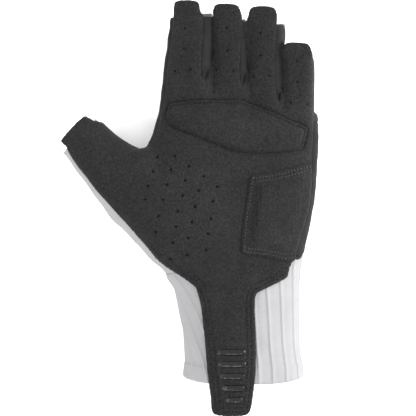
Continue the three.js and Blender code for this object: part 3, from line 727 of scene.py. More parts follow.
def refined(skin, size, rounds=2):
    """Splits edges that are longer than size(points) says."""
    points, normals, triangles = skin
    wanted = size(points)
    for _ in range(rounds):
        ends, flat = edges_of(triangles, len(points))
        length = np.linalg.norm(points[ends[:, 0]] - points[ends[:, 1]], axis=1)
        split = length > 1.45 * np.minimum(wanted[ends[:, 0]], wanted[ends[:, 1]])
        if not split.any():
            break
        number = np.full(len(ends), -1)
        number[split] = len(points) + np.arange(split.sum())
        middle = (points[ends[split, 0]] + points[ends[split, 1]]) / 2
        n = normals[ends[split, 0]] + normals[ends[split, 1]]
        normals = np.vstack([normals, n / np.linalg.norm(n, axis=1)[:, None]])
        points = np.vstack([points, middle])
        wanted = np.concatenate([wanted, size(middle)])
        cut = number[flat]
        marks = (cut >= 0).sum(1)
        out = [triangles[marks == 0]]
        t, m = triangles[marks == 3], cut[marks == 3]
        out += [np.column_stack([t[:, i], m[:, i], m[:, i - 1]]) for i in range(3)] + [m]
        for i in range(3):
            j, k = (i + 1) % 3, (i + 2) % 3
            one = (marks == 1) & (cut[:, i] >= 0)
            t, m = triangles[one], cut[one]
            out += [
                np.column_stack([t[:, i], m[:, i], t[:, k]]),
                np.column_stack([m[:, i], t[:, j], t[:, k]]),
            ]
            two = (marks == 2) & (cut[:, k] < 0)
            t, m = triangles[two], cut[two]
            out += [
                np.column_stack([m[:, i], t[:, j], m[:, j]]),
                np.column_stack([t[:, i], m[:, i], m[:, j]]),
                np.column_stack([t[:, i], m[:, j], t[:, k]]),
            ]
        triangles = np.vstack(out)
    return points, normals, triangles


def trimmed(skin, field):
    """The part of a skin where field(points) is above zero, with a clean edge along zero."""
    points, normals, triangles = (a.copy() for a in skin)
    value = field(points)
    sign = np.sign(value)[triangles]
    split = triangles[(sign.min(1) < 0) & (sign.max(1) > 0)]
    sides = np.stack([split, np.roll(split, -1, 1)], 2).reshape(-1, 2)
    a, b = sides[value[sides[:, 0]] * value[sides[:, 1]] < 0].T
    t = value[a] / (value[a] - value[b])
    for own, other, share in ((a, b, t), (b, a, 1 - t)):
        close = share < SNAP
        order = np.argsort(-share[close])
        i, j, s = own[close][order], other[close][order], share[close][order]
        free = value[i] != 0
        i, j, s = i[free], j[free], s[free]
        points[i] += (points[j] - points[i]) * s[:, None]
        value[i] = 0
    sign = np.sign(value).astype(int)[triangles]
    whole = (sign >= 0).all(1) & (sign > 0).any(1)
    mixed = (sign > 0).any(1) & (sign < 0).any(1)
    out = [tuple(t) for t in triangles[whole]]
    added, cuts = {}, []

    def crossing_point(i, j):
        key = (min(i, j), max(i, j))
        if key not in added:
            share = value[key[0]] / (value[key[0]] - value[key[1]])
            added[key] = len(points) + len(cuts)
            cuts.append((key[0], key[1], share))
        return added[key]

    for triangle in triangles[mixed].tolist():
        ring = []
        for i in range(3):
            p, q = triangle[i], triangle[(i + 1) % 3]
            if value[p] >= 0:
                ring.append(p)
            if value[p] * value[q] < 0:
                ring.append(crossing_point(p, q))
        for i in range(1, len(ring) - 1):
            out.append((ring[0], ring[i], ring[i + 1]))
    if cuts:
        i, j, s = (np.array(c) for c in zip(*cuts))
        points = np.vstack([points, points[i] + (points[j] - points[i]) * s[:, None]])
        n = normals[i] + (normals[j] - normals[i]) * s[:, None]
        normals = np.vstack([normals, n / np.linalg.norm(n, axis=1)[:, None]])
    triangles = np.array(out)
    return kept((points, normals, triangles), np.ones(len(triangles), bool))


def largest(skin):
    """The largest connected part of a skin."""
    points, normals, triangles = skin
    group = np.arange(len(points))
    while True:
        low = group[triangles].min(1)
        new = group.copy()
        for i in range(3):
            np.minimum.at(new, triangles[:, i], low)
        new = new[new]
        if (new == group).all():
            break
        group = new
    labels = group[triangles[:, 0]]
    names, counts = np.unique(labels, return_counts=True)
    return kept(skin, labels == names[counts.argmax()])


def rim_of(triangles):
    """The directed edges that only one triangle uses."""
    sides = np.stack([triangles, np.roll(triangles, -1, 1)], 2).reshape(-1, 2)
    pair = np.sort(sides, axis=1)
    code = pair[:, 0] * (sides.max() + 1) + pair[:, 1]
    _, first, count = np.unique(code, return_index=True, return_counts=True)
    return sides[first[count == 1]]


def rim_distance(skin, reach=6.0):
    """Distance from each point to the skin's nearest edge."""
    points, _, triangles = skin
    edge = np.unique(rim_of(triangles))
    tree = KDTree(len(edge))
    for i in edge:
        tree.insert(points[i], int(i))
    tree.balance()
    return np.array([min(tree.find(p)[2], reach) for p in points])


def joined(top, bottom, triangles):
    """A closed cloth from its face and its underside, joined round the rims."""
    count = len(top)
    rim = rim_of(triangles)
    sides = np.vstack([
        np.column_stack([rim[:, 1], rim[:, 0], rim[:, 0] + count]),
        np.column_stack([rim[:, 1], rim[:, 0] + count, rim[:, 1] + count]),
    ])
    return np.vstack([top, bottom]), np.vstack([triangles, triangles[:, ::-1] + count, sides])


def walled(skin, outer, thickness):
    """A closed cloth: the skin lifted by outer, and the same skin a thickness below."""
    points, normals, triangles = skin
    top = points + normals * outer[:, None]
    return joined(top, points + normals * (outer - thickness)[:, None], triangles)


# Making pieces
def make(name, points, triangles, material, body="root", slot=None, replaces=()):
    mesh = bpy.data.meshes.new(name)
    mesh.vertices.add(len(points))
    mesh.vertices.foreach_set("co", (np.asarray(points) * MM).ravel())
    mesh.loops.add(len(triangles) * 3)
    mesh.loops.foreach_set("vertex_index", np.asarray(triangles).ravel())
    mesh.polygons.add(len(triangles))
    mesh.polygons.foreach_set("loop_start", np.arange(len(triangles)) * 3)
    mesh.update(calc_edges=True)
    mesh.validate()
    mesh.shade_smooth()
    mesh.materials.append(material)
    piece = bpy.data.objects.new(name, mesh)
    bpy.context.scene.collection.objects.link(piece)
    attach(piece, body)
    if replaces:
        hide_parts(*replaces)
    return piece


def surface_of(points, triangles):
    return BVHTree.FromPolygons(points.tolist(), triangles.tolist())


def dropped(surface, spot):
    """The place and normal on a surface straight below a spot of the floor plan, or None."""
    place, normal, _, _ = surface.ray_cast(Vector((spot[0], spot[1], 120)), Vector((0, 0, -1)))
    return None if place is None else (np.array(place), np.array(normal))


# Regions of the pieces, each above zero where the piece is
def plan(outline, rounds=2):
    line = softened(outline, True, rounds)
    return lambda p: within(p, line)


TONGUE_OUTLINE = [*WRIST_LEFT[1:], *TONGUE_LEFT, *TONGUE_END, *TONGUE_RIGHT, *WRIST_RIGHT[:-2]]
SUEDE_EDGE = [*THUMB_EDGE, *WRIST_LEFT, *TONGUE_LEFT, *TONGUE_END, *TONGUE_RIGHT, *WRIST_RIGHT]
white_plan = plan([(-130, 110), (-101, 84), *SUEDE_EDGE, *ULNAR_END, (46, 26), (FAR, 26),
                   (FAR, -FAR), (-FAR, -FAR), (-FAR, 110)], 1)


def above_seam(table):
    return lambda p: p[:, 2] - np.interp(p[:, 1], table["y"], table["z"])


back_line = above_seam(BACK_SEAM)
side_line = above_seam(SIDE_SEAM)
band_plan = plan([*reversed(BAND_SEAM), *reversed(BAND_OUTSIDE)], 1)
ulnar_plan = plan([*ULNAR_SEAM, (FAR, 101.6), (FAR, 18.2)], 1)


def finger_middle(name, share):
    edges = FINGERS[name]["edges"]
    ys = np.array([100.0, 110, 125, 145, 175, 200])
    left, right = smooth_at(edges, "left", ys), smooth_at(edges, "right", ys)
    return np.column_stack([left + (right - left) * share, ys])


def fourchette(pair):
    a, b = pair.split("_")
    crotch = np.array(CROTCHES[pair])
    top = [(crotch[-1][0], FAR), (crotch[0][0], FAR)]
    opening = plan([*crotch.tolist(), *top], 2)
    low = crotch[:, 1].min() - CROTCH_UNDER
    one, two = finger_middle(a, CROTCH_REACH), finger_middle(b, 1 - CROTCH_REACH)
    one, two = one[one[:, 1] > low], two[two[:, 1] > low]
    foot = [(one[0][0], low), (two[0][0], low)]
    under = plan([foot[0], foot[1], *two.tolist(), *one[::-1].tolist()], 0)

    def region(p):
        """The opening, all below the side seams, and the first finger's wall under the next finger."""
        own = TUCKED_RISE - side_line(p)
        if pair == "ring_little":
            beside = np.minimum(RING_WALL[0] - p[:, 0], RING_WALL[1] - p[:, 2])
            nearer = 5 * (finger_share(FINGERS[b], p) - finger_share(FINGERS[a], p))
            own = np.where(p[:, 1] > SLAB_START + SLAB_EASE / 2, beside, nearer)
        tucked = np.minimum(opening(p - (TUCKED_WALL, 0, 0)), np.minimum(own, p[:, 1] - low - TUCKED_FROM))
        return np.maximum(np.maximum(opening(p), tucked), np.minimum(under(p), -side_line(p)))

    return region


def finger_share(finger, points):
    """How far out of a finger's middle the points are: 1 on its surface."""
    left, right, middle, depth, roll = finger_box(finger, points[:, 1])
    turn = np.radians(roll)
    u, w = points[:, 0] - (left + right) / 2, points[:, 2] - middle
    across = u * np.cos(turn) + w * np.sin(turn)
    up = -u * np.sin(turn) + w * np.cos(turn)
    return np.hypot(across / ((right - left) / 2), up / (depth / 2))


FOURCHETTES = {pair: fourchette(pair) for pair in CROTCHES}


def mouths(key, past=0.0):
    """Above zero short of each finger's mouth and of the thumb's."""
    def field(p):
        shares = np.stack([finger_share(f, p) for f in FINGERS.values()])
        beside = (p[:, 2] < RING_WALL[1]) | (p[:, 1] > FINGERS["little"]["mouth"] + SLAB_PAST - 0.5)
        shares[3][(p[:, 1] > SLAB_START) & (p[:, 0] < RING_WALL[0]) & beside] = 9
        ends = np.array([f[key] for f in FINGERS.values()])
        short = ends[shares.argmin(0)] - p[:, 1]
        along = (p[:, :2] - THUMB_ROOT) @ np.array([math.cos(THUMB_ANGLE), math.sin(THUMB_ANGLE)])
        thumb = THUMB_LENGTH + past - along
        return np.where(p[:, 1] > MOUTHS_FROM, short, np.where(p[:, 0] < THUMB_FROM, thumb, WELL_INSIDE))
    return field


front_plan = plan([(-FAR, -FAR), (-FAR, 60), (-104, 84), (-103.9, 87.4), *THUMB_TAB[2:], (-74, 110),
                   (-60, 157.2), *TABS["index"], *TABS["middle"], *TABS["ring"], *TABS["little"],
                   (FAR, 131.5), (FAR, -FAR)], 1)


# Materials
def shader(name, **inputs):
    material = bpy.data.materials.new(name)
    material.use_nodes = True
    tree = material.node_tree
    bsdf = next(n for n in tree.nodes if n.type == "BSDF_PRINCIPLED")
    for key, value in inputs.items():
        bsdf.inputs[key.replace("_", " ")].default_value = value
    return material, tree, bsdf, tree.nodes.new("ShaderNodeTexCoord")


def coloured(tree, bsdf, colour):
    tree.links.new(colour, bsdf.inputs["Base Color"])


def noise(tree, coords, scale, detail=3, roughness=0.55, stretch=None):
    node = tree.nodes.new("ShaderNodeTexNoise")
    node.inputs["Scale"].default_value = scale
    node.inputs["Detail"].default_value = detail
    node.inputs["Roughness"].default_value = roughness
    source = coords.outputs["Object"]
    if stretch:
        mapping = tree.nodes.new("ShaderNodeMapping")
        mapping.inputs["Scale"].default_value = stretch
        tree.links.new(source, mapping.inputs["Vector"])
        source = mapping.outputs["Vector"]
    tree.links.new(source, node.inputs["Vector"])
    return node.outputs["Fac"]


def ramp(tree, source, *stops):
    node = tree.nodes.new("ShaderNodeValToRGB")
    while len(node.color_ramp.elements) < len(stops):
        node.color_ramp.elements.new(0.5)
    for element, (place, grey) in zip(node.color_ramp.elements, stops):
        element.position = place
        element.color = (*grey, 1) if isinstance(grey, tuple) else (grey, grey, grey, 1)
    tree.links.new(source, node.inputs["Fac"])
    return node.outputs["Color"]


def mixed(tree, a, b, kind="MULTIPLY", factor=1.0):
    node = tree.nodes.new("ShaderNodeMix")
    node.data_type = "RGBA"
    node.blend_type = kind
    node.inputs["Factor"].default_value = factor
    tree.links.new(a, node.inputs["A"])
    tree.links.new(b, node.inputs["B"])
    return node.outputs["Result"]


def bumped(tree, bsdf, *heights):
    """Chains of bump: each is (source, strength, distance in metres)."""
    last = None
    for source, strength, distance in heights:
        node = tree.nodes.new("ShaderNodeBump")
        node.inputs["Strength"].default_value = strength
        node.inputs["Distance"].default_value = distance
        tree.links.new(source, node.inputs["Height"])
        if last:
            tree.links.new(last, node.inputs["Normal"])
        last = node.outputs["Normal"]
    tree.links.new(last, bsdf.inputs["Normal"])


def suede_material():
    material, tree, bsdf, coords = shader(
        "suede", Roughness=0.6, Sheen_Weight=0.02, Sheen_Roughness=0.4, Specular_IOR_Level=0.09)
    grain = ramp(tree, noise(tree, coords, 900, 3, 0.7), (0.4, 0.36), (0.62, 1.0))
    nap = ramp(tree, noise(tree, coords, 90, 4, 0.6), (0.3, 0.84), (0.72, 1.0))
    dark, light = (0.0152, 0.0152, 0.0156), (0.0188, 0.0188, 0.0188)
    base = ramp(tree, noise(tree, coords, 40, 2), (0.35, dark), (0.65, light))
    coloured(tree, bsdf, mixed(tree, mixed(tree, base, grain), nap))
    pores = noise(tree, coords, 850, 4, 0.7)
    bumped(tree, bsdf, (pores, 1.0, 0.0011), (noise(tree, coords, 200, 3), 0.4, 0.0008))
    return material


def fabric_material(name, dark, light, pitch):
    """A fine stretch knit: short slanting loops in columns."""
    material, tree, bsdf, coords = shader(name, Roughness=0.8, Sheen_Weight=0.02, Specular_IOR_Level=0.09)
    split = tree.nodes.new("ShaderNodeSeparateXYZ")
    tree.links.new(coords.outputs["Object"], split.inputs["Vector"])

    def math_node(operation, *sources):
        node = tree.nodes.new("ShaderNodeMath")
        node.operation = operation
        for slot, source in zip(node.inputs, sources):
            if isinstance(source, float):
                slot.default_value = source
            else:
                tree.links.new(source, slot)
        return node.outputs[0]

    def wave(axis, length):
        return math_node("SINE", math_node("MULTIPLY", split.outputs[axis], 2 * math.pi / length))

    loops = math_node("MULTIPLY", wave("X", pitch), wave("Y", pitch * 0.8))
    mottle = ramp(tree, noise(tree, coords, 90, 3), (0.3, dark), (0.7, light))
    fibre = ramp(tree, noise(tree, coords, 1800, 3), (0.3, 0.9), (0.7, 1.06))
    coloured(tree, bsdf, mixed(tree, mottle, fibre))
    bumped(tree, bsdf, (loops, 0.25, 0.00008), (noise(tree, coords, 1200, 3), 0.2, 0.0001))
    return material


def silicone_material():
    material, tree, bsdf, coords = shader("silicone", Roughness=0.14, Specular_IOR_Level=0.27)
    coloured(tree, bsdf, ramp(tree, noise(tree, coords, 300, 3), (0.3, 0.002), (0.7, 0.004)))
    bumped(tree, bsdf, (noise(tree, coords, 700, 3), 0.4, 0.0004))
    return material


def thread_material(name, dark, light):
    material, tree, bsdf, coords = shader(name, Roughness=0.8, Specular_IOR_Level=0.1)
    coloured(tree, bsdf, ramp(tree, noise(tree, coords, 900, 2), (0.3, dark), (0.7, light)))
    bumped(tree, bsdf, (noise(tree, coords, 3000, 2, stretch=(1, 0.3, 1)), 0.5, 0.0001))
    return material


def floor_material():
    material, tree, bsdf, coords = shader("floor", Roughness=0.9)
    coloured(tree, bsdf, ramp(tree, noise(tree, coords, 20, 2), (0.3, 0.96), (0.7, 0.97)))
    return material


SUEDE = suede_material()
SIDE = fabric_material("side_fabric", 0.0075, 0.0105, 0.0011)
WHITE = fabric_material("white_fabric", (0.213, 0.21, 0.216), (0.229, 0.226, 0.231), 0.0010)
SILICONE = silicone_material()
DARK_THREAD = thread_material("dark_thread", 0.004, 0.009)
PALE_THREAD = thread_material("pale_thread", 0.05, 0.08)

# The skin that all pieces are cut from
BASE_POINTS, BASE_TRIANGLES = base_form()
BASE = (BASE_POINTS, normals_of(BASE_POINTS, BASE_TRIANGLES), BASE_TRIANGLES)

random = np.random.default_rng(SEED)
HOLES = [np.array(spot) for spot in FINGER_HOLES]
for start, end, count in HOLE_ROWS:
    bow = np.array([end[1] - start[1], start[0] - end[0]]) * ROW_BOW
    for i in range(count):
        t = i / (count - 1)
        place = np.array(start) * (1 - t) + np.array(end) * t + bow * 4 * t * (1 - t)
        HOLES.append(place + random.normal(0, HOLE_SCATTER, 2))
HOLES = np.array(HOLES)


def bell(distance, width):
    """1 at no distance, falling off over a width."""
    return np.exp(-((distance / width) ** 2))


def hole_distance(p):
    best = np.full(len(p), 1e9)
    for i, hole in enumerate(HOLES):
        smaller = FINGER_HOLE_LESS if i < len(FINGER_HOLES) else 0
        best = np.minimum(best, np.hypot(p[:, 0] - hole[0], p[:, 1] - hole[1]) + smaller)
    return best


def punched(p):
    """Depth of the punched holes, each a round pit with a dimple round it."""
    gap = hole_distance(p)
    low, high = HOLE_SIDES
    pit = HOLE_DEPTH * (1 - smoothstep(HOLE_RADIUS + low, HOLE_RADIUS + high, gap))
    return -pit - DIMPLE[0] * bell(gap, DIMPLE[1])


# Lines of stitches
TONGUE_LINE = softened(TONGUE_OUTLINE, False)
WRIST_LINE = softened([*THUMB_EDGE[-3:], *WRIST_LEFT, *TONGUE_LEFT, *TONGUE_END, *TONGUE_RIGHT,
                       *WRIST_RIGHT[:-1]], False)
TONGUE_ROWS = [inset(WRIST_LINE, SUEDE_ROWS_IN[0]), inset(TONGUE_LINE, SUEDE_ROWS_IN[1])]
PALM_PAD = softened([*PALM_PAD_TOP, *PALM_PAD_FOOT], True)
PALM_PAD_EDGE = softened(PALM_PAD_TOP, False)
PALM_PAD_ROW = inset(PALM_PAD_EDGE, -ROW_GAP)
HEEL_PAD = softened([*HEEL_PAD_TOP, *HEEL_PAD_RIGHT, *HEEL_PAD_FOOT, *HEEL_PAD_LEFT], True)
HEEL_TOP = softened(HEEL_PAD_TOP[2:], False)
HEEL_SIDE = softened([*HEEL_PAD_FOOT[-2:], *HEEL_PAD_LEFT, *HEEL_PAD_TOP[:2]], False)
HEEL_FOOT = softened([*HEEL_PAD_FOOT[:-1]], False)
HEEL_ROWS = [inset(line, -into) for line, into in (
    (HEEL_TOP, 2.0), (HEEL_TOP, 4.2), (HEEL_FOOT, 1.9), (HEEL_FOOT, 4.1), (HEEL_SIDE, 2.1))]


def pulled(along, share):
    """How hard the thread pulls along a row: 1 at each stitch, less between them."""
    return 1 - share + share * np.cos(2 * math.pi * along / STITCH_PITCH)


def groove(p, lines, depth=0.5, width=0.5):
    """Depth of the cloth along rows of stitches."""
    total = np.zeros(len(p))
    for line in lines:
        gap, along = line_distance(p, line)
        total = np.minimum(total, -depth * pulled(along, 0.45) * bell(gap, width))
    return total


def palm_lift(p):
    """The suede's lower edge lies over the cuff, and the tongue over its ribs."""
    edge, _ = line_distance(p, WRIST_LINE, reach=14)
    over_cuff = WRIST_LIFT * (1 - smoothstep(*WRIST_LIFT_FADES, edge))
    over_cuff *= 1 - smoothstep(*WRIST_LIFT_ENDS, p[:, 1])
    middle, half = TONGUE_LIFT_ACROSS
    across = np.exp(-(((p[:, 0] - middle) / half) ** 4))
    return np.maximum(over_cuff, TONGUE_LIFT * (1 - smoothstep(*TONGUE_LIFT_ENDS, p[:, 1])) * across)


def palm_relief(p):
    """Height of the suede's face over the bare form."""
    h = palm_lift(p) + uneven(p, "suede") + groove(p, TONGUE_ROWS)
    pad = within(p, PALM_PAD)
    for depth, width in PAD_DIPS:
        h -= depth * bell(pad, width)
    h -= HEEL_DIP[0] * bell(within(p, HEEL_PAD), HEEL_DIP[1])
    across, along = ((p[:, i] - MOUND_AT[i]) / MOUND_SPREAD[i] for i in range(2))
    return h + MOUND * np.exp(-(across**2 + along**2))


def cut_out(skin, *fields):
    """The largest part of a skin where all the fields are above zero."""
    for field in fields:
        skin = trimmed(skin, field)
    return largest(skin)


def beside_slab(p):
    """Above zero outside the underside of the little finger's slab."""
    middle = np.interp(p[:, 1], *SLAB_MIDDLE)
    return np.maximum.reduce([SLAB_START - p[:, 1], SLAB_LEFT - p[:, 0], p[:, 2] - middle])


def suede_front():
    """The suede's part of the skin, with fine cells along its edges, rows of stitches and holes."""
    seams = [*FOURCHETTES.values(), band_plan, ulnar_plan]

    def size(p):
        wanted = np.full(len(p), COARSE)
        for line in (white_plan, front_plan, *seams):
            wanted = np.where(np.abs(line(p)) < EDGE_ZONE, FINE, wanted)
        for row in TONGUE_ROWS:
            wanted = np.where(line_distance(p, row)[0] < ROW_ZONE, FINE, wanted)
        return np.where(hole_distance(p) < HOLE_ZONE, HOLE_EDGE, wanted)

    return cut_out(
        refined(trimmed(BASE, lambda p: back_line(p) + 2), size),
        lambda p: back_line(p) - BACK_LAP,
        beside_slab,
        lambda p: -white_plan(p) + uneven(p, "edge"),
        *[lambda p, seam=seam: -seam(p) - SEAM_GAP for seam in seams],
        lambda p: front_plan(p) + uneven(p, "tabs"),
    )


def seam_valley(skin, depth=SEAM_DEPTH, width=SEAM_WIDTH):
    """The cloth is pulled in along the edges of a skin."""
    return -depth * bell(rim_distance(skin), width)


def make_palm():
    """The suede of palm, fingers, thumb and tongue."""
    skin = suede_front()
    p = skin[0]
    points, faces = walled(skin, palm_relief(p) + seam_valley(skin, *SUEDE_VALLEY) + punched(p), WALL)
    make("palm_suede", points, faces, SUEDE, slot="suede", replaces=["palm_panel"])
    return surface_of(points, faces)


def crotch_folds(p):
    """A small almond-shaped tuck with a lip round it at the foot of each gap between fingers."""
    h = np.zeros(len(p))
    rise, place, broad = TUCK_LIP
    for x, y, lean, length, width in CROTCH_TUCKS:
        c, s = math.cos(math.radians(lean)), math.sin(math.radians(lean))
        u = ((p[:, 0] - x) * c + (p[:, 1] - y) * s) / width
        v = (-(p[:, 0] - x) * s + (p[:, 1] - y) * c) / length
        r = np.hypot(u, v)
        tuck = rise * bell(r - place, broad) - TUCK_DEPTH * np.exp(-(r**4))
        h += np.where(p[:, 2] > TUCK_FROM, tuck, 0)
    return h


def near_edge(region, margin, zone):
    """The skin as far as a margin past a region, with fine cells along the region's edge."""
    skin = trimmed(BASE, lambda p: region(p) + margin)
    return refined(skin, lambda p: np.where(np.abs(region(p)) < zone, FINE, COARSE), 1)


def make_side(name, node, region, extra=()):
    """A side panel of black stretch fabric: a region of the skin, trimmed at the finger mouths."""
    skin = cut_out(near_edge(region, *SIDE_EDGE), lambda p: region(p) + SEAM_LAP,
                   lambda p: back_line(p) - BACK_LAP, mouths("mouth"), *extra)
    p = skin[0]
    h = uneven(p, "side") - SIDE_SUNK + seam_valley(skin) + crotch_folds(p)
    make(name, *walled(skin, h, WALL), SIDE, slot="side_fabric", replaces=[node])


def past_mouth(p):
    """The back's cloth past the walls of the fingers, up to their sides."""
    past = np.minimum(LIP_LAP - mouths("mouth")(p), np.minimum(LIP_TOP - p[:, 2], p[:, 0] - LIP_LEFT))
    return np.where(p[:, 1] > LIP_FROM, past, LIP_ABSENT)


def lip_end(p):
    """Where the back ends: at its middle the farthest, lower at the sides."""
    fall = LIP_FALL * np.clip((p[:, 2] - LIP_LOW) / (LIP_TOP - LIP_LOW), 0, 1) ** 3
    return mouths("back", THUMB_BACK_PAST)(p) - np.where(p[:, 1] > LIP_FROM, fall, 0)


def back_region(p):
    """The skin below the seam of the back, the strip along the thumb, and the lips at the mouths."""
    return np.maximum(np.maximum(-back_line(p), white_plan(p)), past_mouth(p))


def past_cuff(p):
    """Above zero on the hand's side of the seam between cuff and back."""
    return p[:, 1] - np.interp(p[:, 0], *CUFF_SEAM)


def make_back():
    """The white stretch fabric of the back of hand, fingers and thumb."""
    skin = cut_out(near_edge(back_region, *BACK_EDGE), lambda p: back_region(p) - BACK_GAP,
                   lambda p: past_cuff(p) + SEAM_LAP, lip_end)
    p = skin[0]
    h = uneven(p, "back") * smoothstep(*BACK_FLAT, p[:, 2]) + seam_valley(skin, *BACK_VALLEY)
    points, faces = walled(skin, h, WALL)
    points[:, 2] = np.maximum(points[:, 2], FLOOR_GAP)
    make("back_fabric", points, faces, WHITE, slot="white_fabric", replaces=["back_panel"])


def cuff_skin():
    """The cuff's own skin, finer along the ribs, with each point's share of the way round."""
    ys = np.arange(CUFF_HEM, CUFF_TOP, CUFF_STEP)
    rings = [hand_ring(y, CUFF_COUNT) for y in ys]
    points = np.vstack(rings)
    i = np.arange(CUFF_COUNT)
    j = (i + 1) % CUFF_COUNT
    triangles = []
    for a in range(0, len(points) - CUFF_COUNT, CUFF_COUNT):
        b = a + CUFF_COUNT
        triangles += [np.column_stack([a + i, b + j, a + j]), np.column_stack([a + i, b + i, b + j])]
    triangles = np.vstack(triangles)
    girth = np.linalg.norm(np.diff(np.vstack([rings[0], rings[0][:1]]), axis=0), axis=1).sum()
    return points, normals_of(points, triangles), triangles, np.tile(i / CUFF_COUNT, len(ys)), girth


def rib_height(points, share, girth):
    """Ribs along the cuff, steep on one side, with a shallow valley and a fine knit between."""
    ribs = round(girth / RIB_PITCH)
    row = points[:, 1] == points[np.abs(points[:, 1] - FIRST_RIB[1]).argmin(), 1]
    row &= points[:, 2] > UPPER
    start = share[row][np.abs(points[row, 0] - FIRST_RIB[0]).argmin()]
    slanting = smoothstep(*SLANT_SIDE[:2], share) * (1 - smoothstep(*SLANT_SIDE[2:], share))
    turned = share + slanting * RIB_SLANT * (SLANT_FROM - points[:, 1])
    phase = ((turned - start) * ribs + 0.5) % 1.0 - 0.5
    off = phase * girth / ribs
    rib = np.where(off > 0, bell(off, RIB_SIDES[0]), bell(off, RIB_SIDES[1]))
    knit = KNIT[0] * np.sin(2 * math.pi * points[:, 1] / KNIT[1])
    return RIB_HEIGHT * rib * (1 + knit) - RIB_VALLEY * np.cos(2 * math.pi * phase)


def hem_height(y):
    """The doubled hem stands proud of the cuff and has a round edge."""
    band = 1 - smoothstep(CUFF_HEM + HEM_BAND - HEM_STEP, CUFF_HEM + HEM_BAND, y)
    return HEM_PROUD * band * np.sqrt(np.clip((y - CUFF_HEM) / HEM_ROUND, 0, 1))


def cuff_region(p):
    """The cuff: below its seam with the back, and a little under the suede's edge in front."""
    front = np.maximum(white_plan(p) + CUFF_LAP, -back_line(p))
    return np.minimum(-past_cuff(p), np.where(p[:, 1] > CUFF_WHOLE, front, FAR))


def make_cuff():
    """The knit cuff, sunk under the suede in front, its hem bent down at the sides."""
    points, normals, triangles, share, girth = cuff_skin()
    h = rib_height(points, share, girth) + hem_height(points[:, 1]) + uneven(points, "cuff")
    shown = np.where(points[:, 2] > UPPER, smoothstep(*CUFF_SHOWN, white_plan(points)), 1)
    h = (h * shown - CUFF_SUNK * (1 - shown)) * smoothstep(0, CUFF_GATHER, -past_cuff(points))
    face = points + normals * h[:, None]
    face[:, 2] = np.maximum(face[:, 2], FLOOR_GAP)
    inner = points - normals * WALL
    middle, half = HEM_BEND_ACROSS
    bend = HEM_BEND * ((points[:, 0] - middle) / half) ** 4
    bend *= smoothstep(CUFF_HEM + HEM_BEND_FROM, CUFF_HEM, points[:, 1])
    face[:, 1] += bend
    inner[:, 1] += bend
    carried = np.hstack([points, face, inner])
    cut, _, faces = trimmed((carried, normals, triangles), lambda c: cuff_region(c[:, :3]))
    make("cuff_knit", *joined(cut[:, 3:6], cut[:, 6:], faces), WHITE, slot="white_fabric", replaces=["cuff"])


def make_pad(name, node, line, profile):
    """A stitched pad on the suede: its face over the palm, and its own underside."""
    skin = trimmed(BASE, lambda p: np.minimum(within(p, line) + 2, p[:, 2] - UPPER))
    skin = refined(skin, lambda p: np.where(within(p, line) < PAD_ZONE, FINE, PAD_CELL))
    p, normals, triangles = cut_out(skin, lambda p: within(p, line))
    bed = palm_relief(p) + PAD_CLEAR
    h = bed + profile(p, within(p, line))
    points, faces = joined(p + normals * h[:, None], p + normals * bed[:, None], triangles)
    piece = make(name, points, faces, SUEDE, slot="suede", replaces=[node])
    return surface_of(points, faces)


def rounded(depth, width):
    """A quarter round over a width: 0 at the edge and 1 inside."""
    return np.sqrt(np.clip(1 - (1 - np.clip(depth / width, 0, 1)) ** 2, 0, 1))


def palm_pad_profile(p, depth):
    gap, along = line_distance(p, PALM_PAD_ROW)
    from_edge, length = PAD_SWELL
    swell = (PAD_RISE - PAD_EDGE) * (1 - np.exp(-np.clip(depth - from_edge, 0, None) / length))
    h = PAD_EDGE * rounded(depth, PAD_ROUND) + swell
    h -= PAD_ROW[0] * pulled(along, 0.2) * bell(gap, PAD_ROW[1])
    return h + uneven(p, "palm_pad") * smoothstep(0, PAD_SMOOTH, depth)


def heel_pad_profile(p, depth):
    h = HEEL_EDGE * rounded(depth, HEEL_ROUND) + HEEL_SWELL * smoothstep(*HEEL_SWELL_FROM, depth)
    return h + groove(p, HEEL_ROWS, *HEEL_GROOVE) + uneven(p, "heel_pad") * smoothstep(0, PAD_SMOOTH, depth)


def banded(first, count, rings):
    """The faces between rings of points, of which the first ring starts at one point number."""
    faces = []
    for a in range(first, first + (rings - 1) * count, count):
        for i in range(count):
            j = (i + 1) % count
            faces += [(a + i, a + j, a + count + j), (a + i, a + count + j, a + count + i)]
    return faces


def stitches(name, rows, material):
    """Short stitches along lines, each a small bent thread whose ends go into the cloth."""
    points, faces = [], []
    for row, surface in rows:
        spots = spaced(row, STITCH_PITCH)
        for spot, way in zip(spots, np.gradient(spots, axis=0)):
            found = dropped(surface, spot)
            if found is None or found[1][2] < STEEPEST:
                continue
            place, normal = found
            forward = np.array([way[0], way[1], 0.0])
            forward -= normal * (forward @ normal)
            forward /= np.linalg.norm(forward)
            across = np.cross(normal, forward)
            start = len(points)
            for t in np.linspace(-1, 1, STITCH_STEPS):
                thick = STITCH_RADIUS * (1 - STITCH_TAPER * t**4)
                up = STITCH_PROUD + STITCH_RADIUS * (STITCH_SET[0] - STITCH_SET[1] * t**4)
                centre = place + forward * t * STITCH_LENGTH / 2 + normal * up
                for k in range(STITCH_SIDES):
                    a = 2 * math.pi * k / STITCH_SIDES
                    points.append(centre + (across * math.cos(a) + normal * math.sin(a)) * thick)
            faces += banded(start, STITCH_SIDES, STITCH_STEPS)
            end = len(points) - STITCH_SIDES
            for k in range(1, STITCH_SIDES - 1):
                faces += [(start, start + k + 1, start + k), (end, end + k, end + k + 1)]
    make(name, np.array(points), np.array(faces), material)


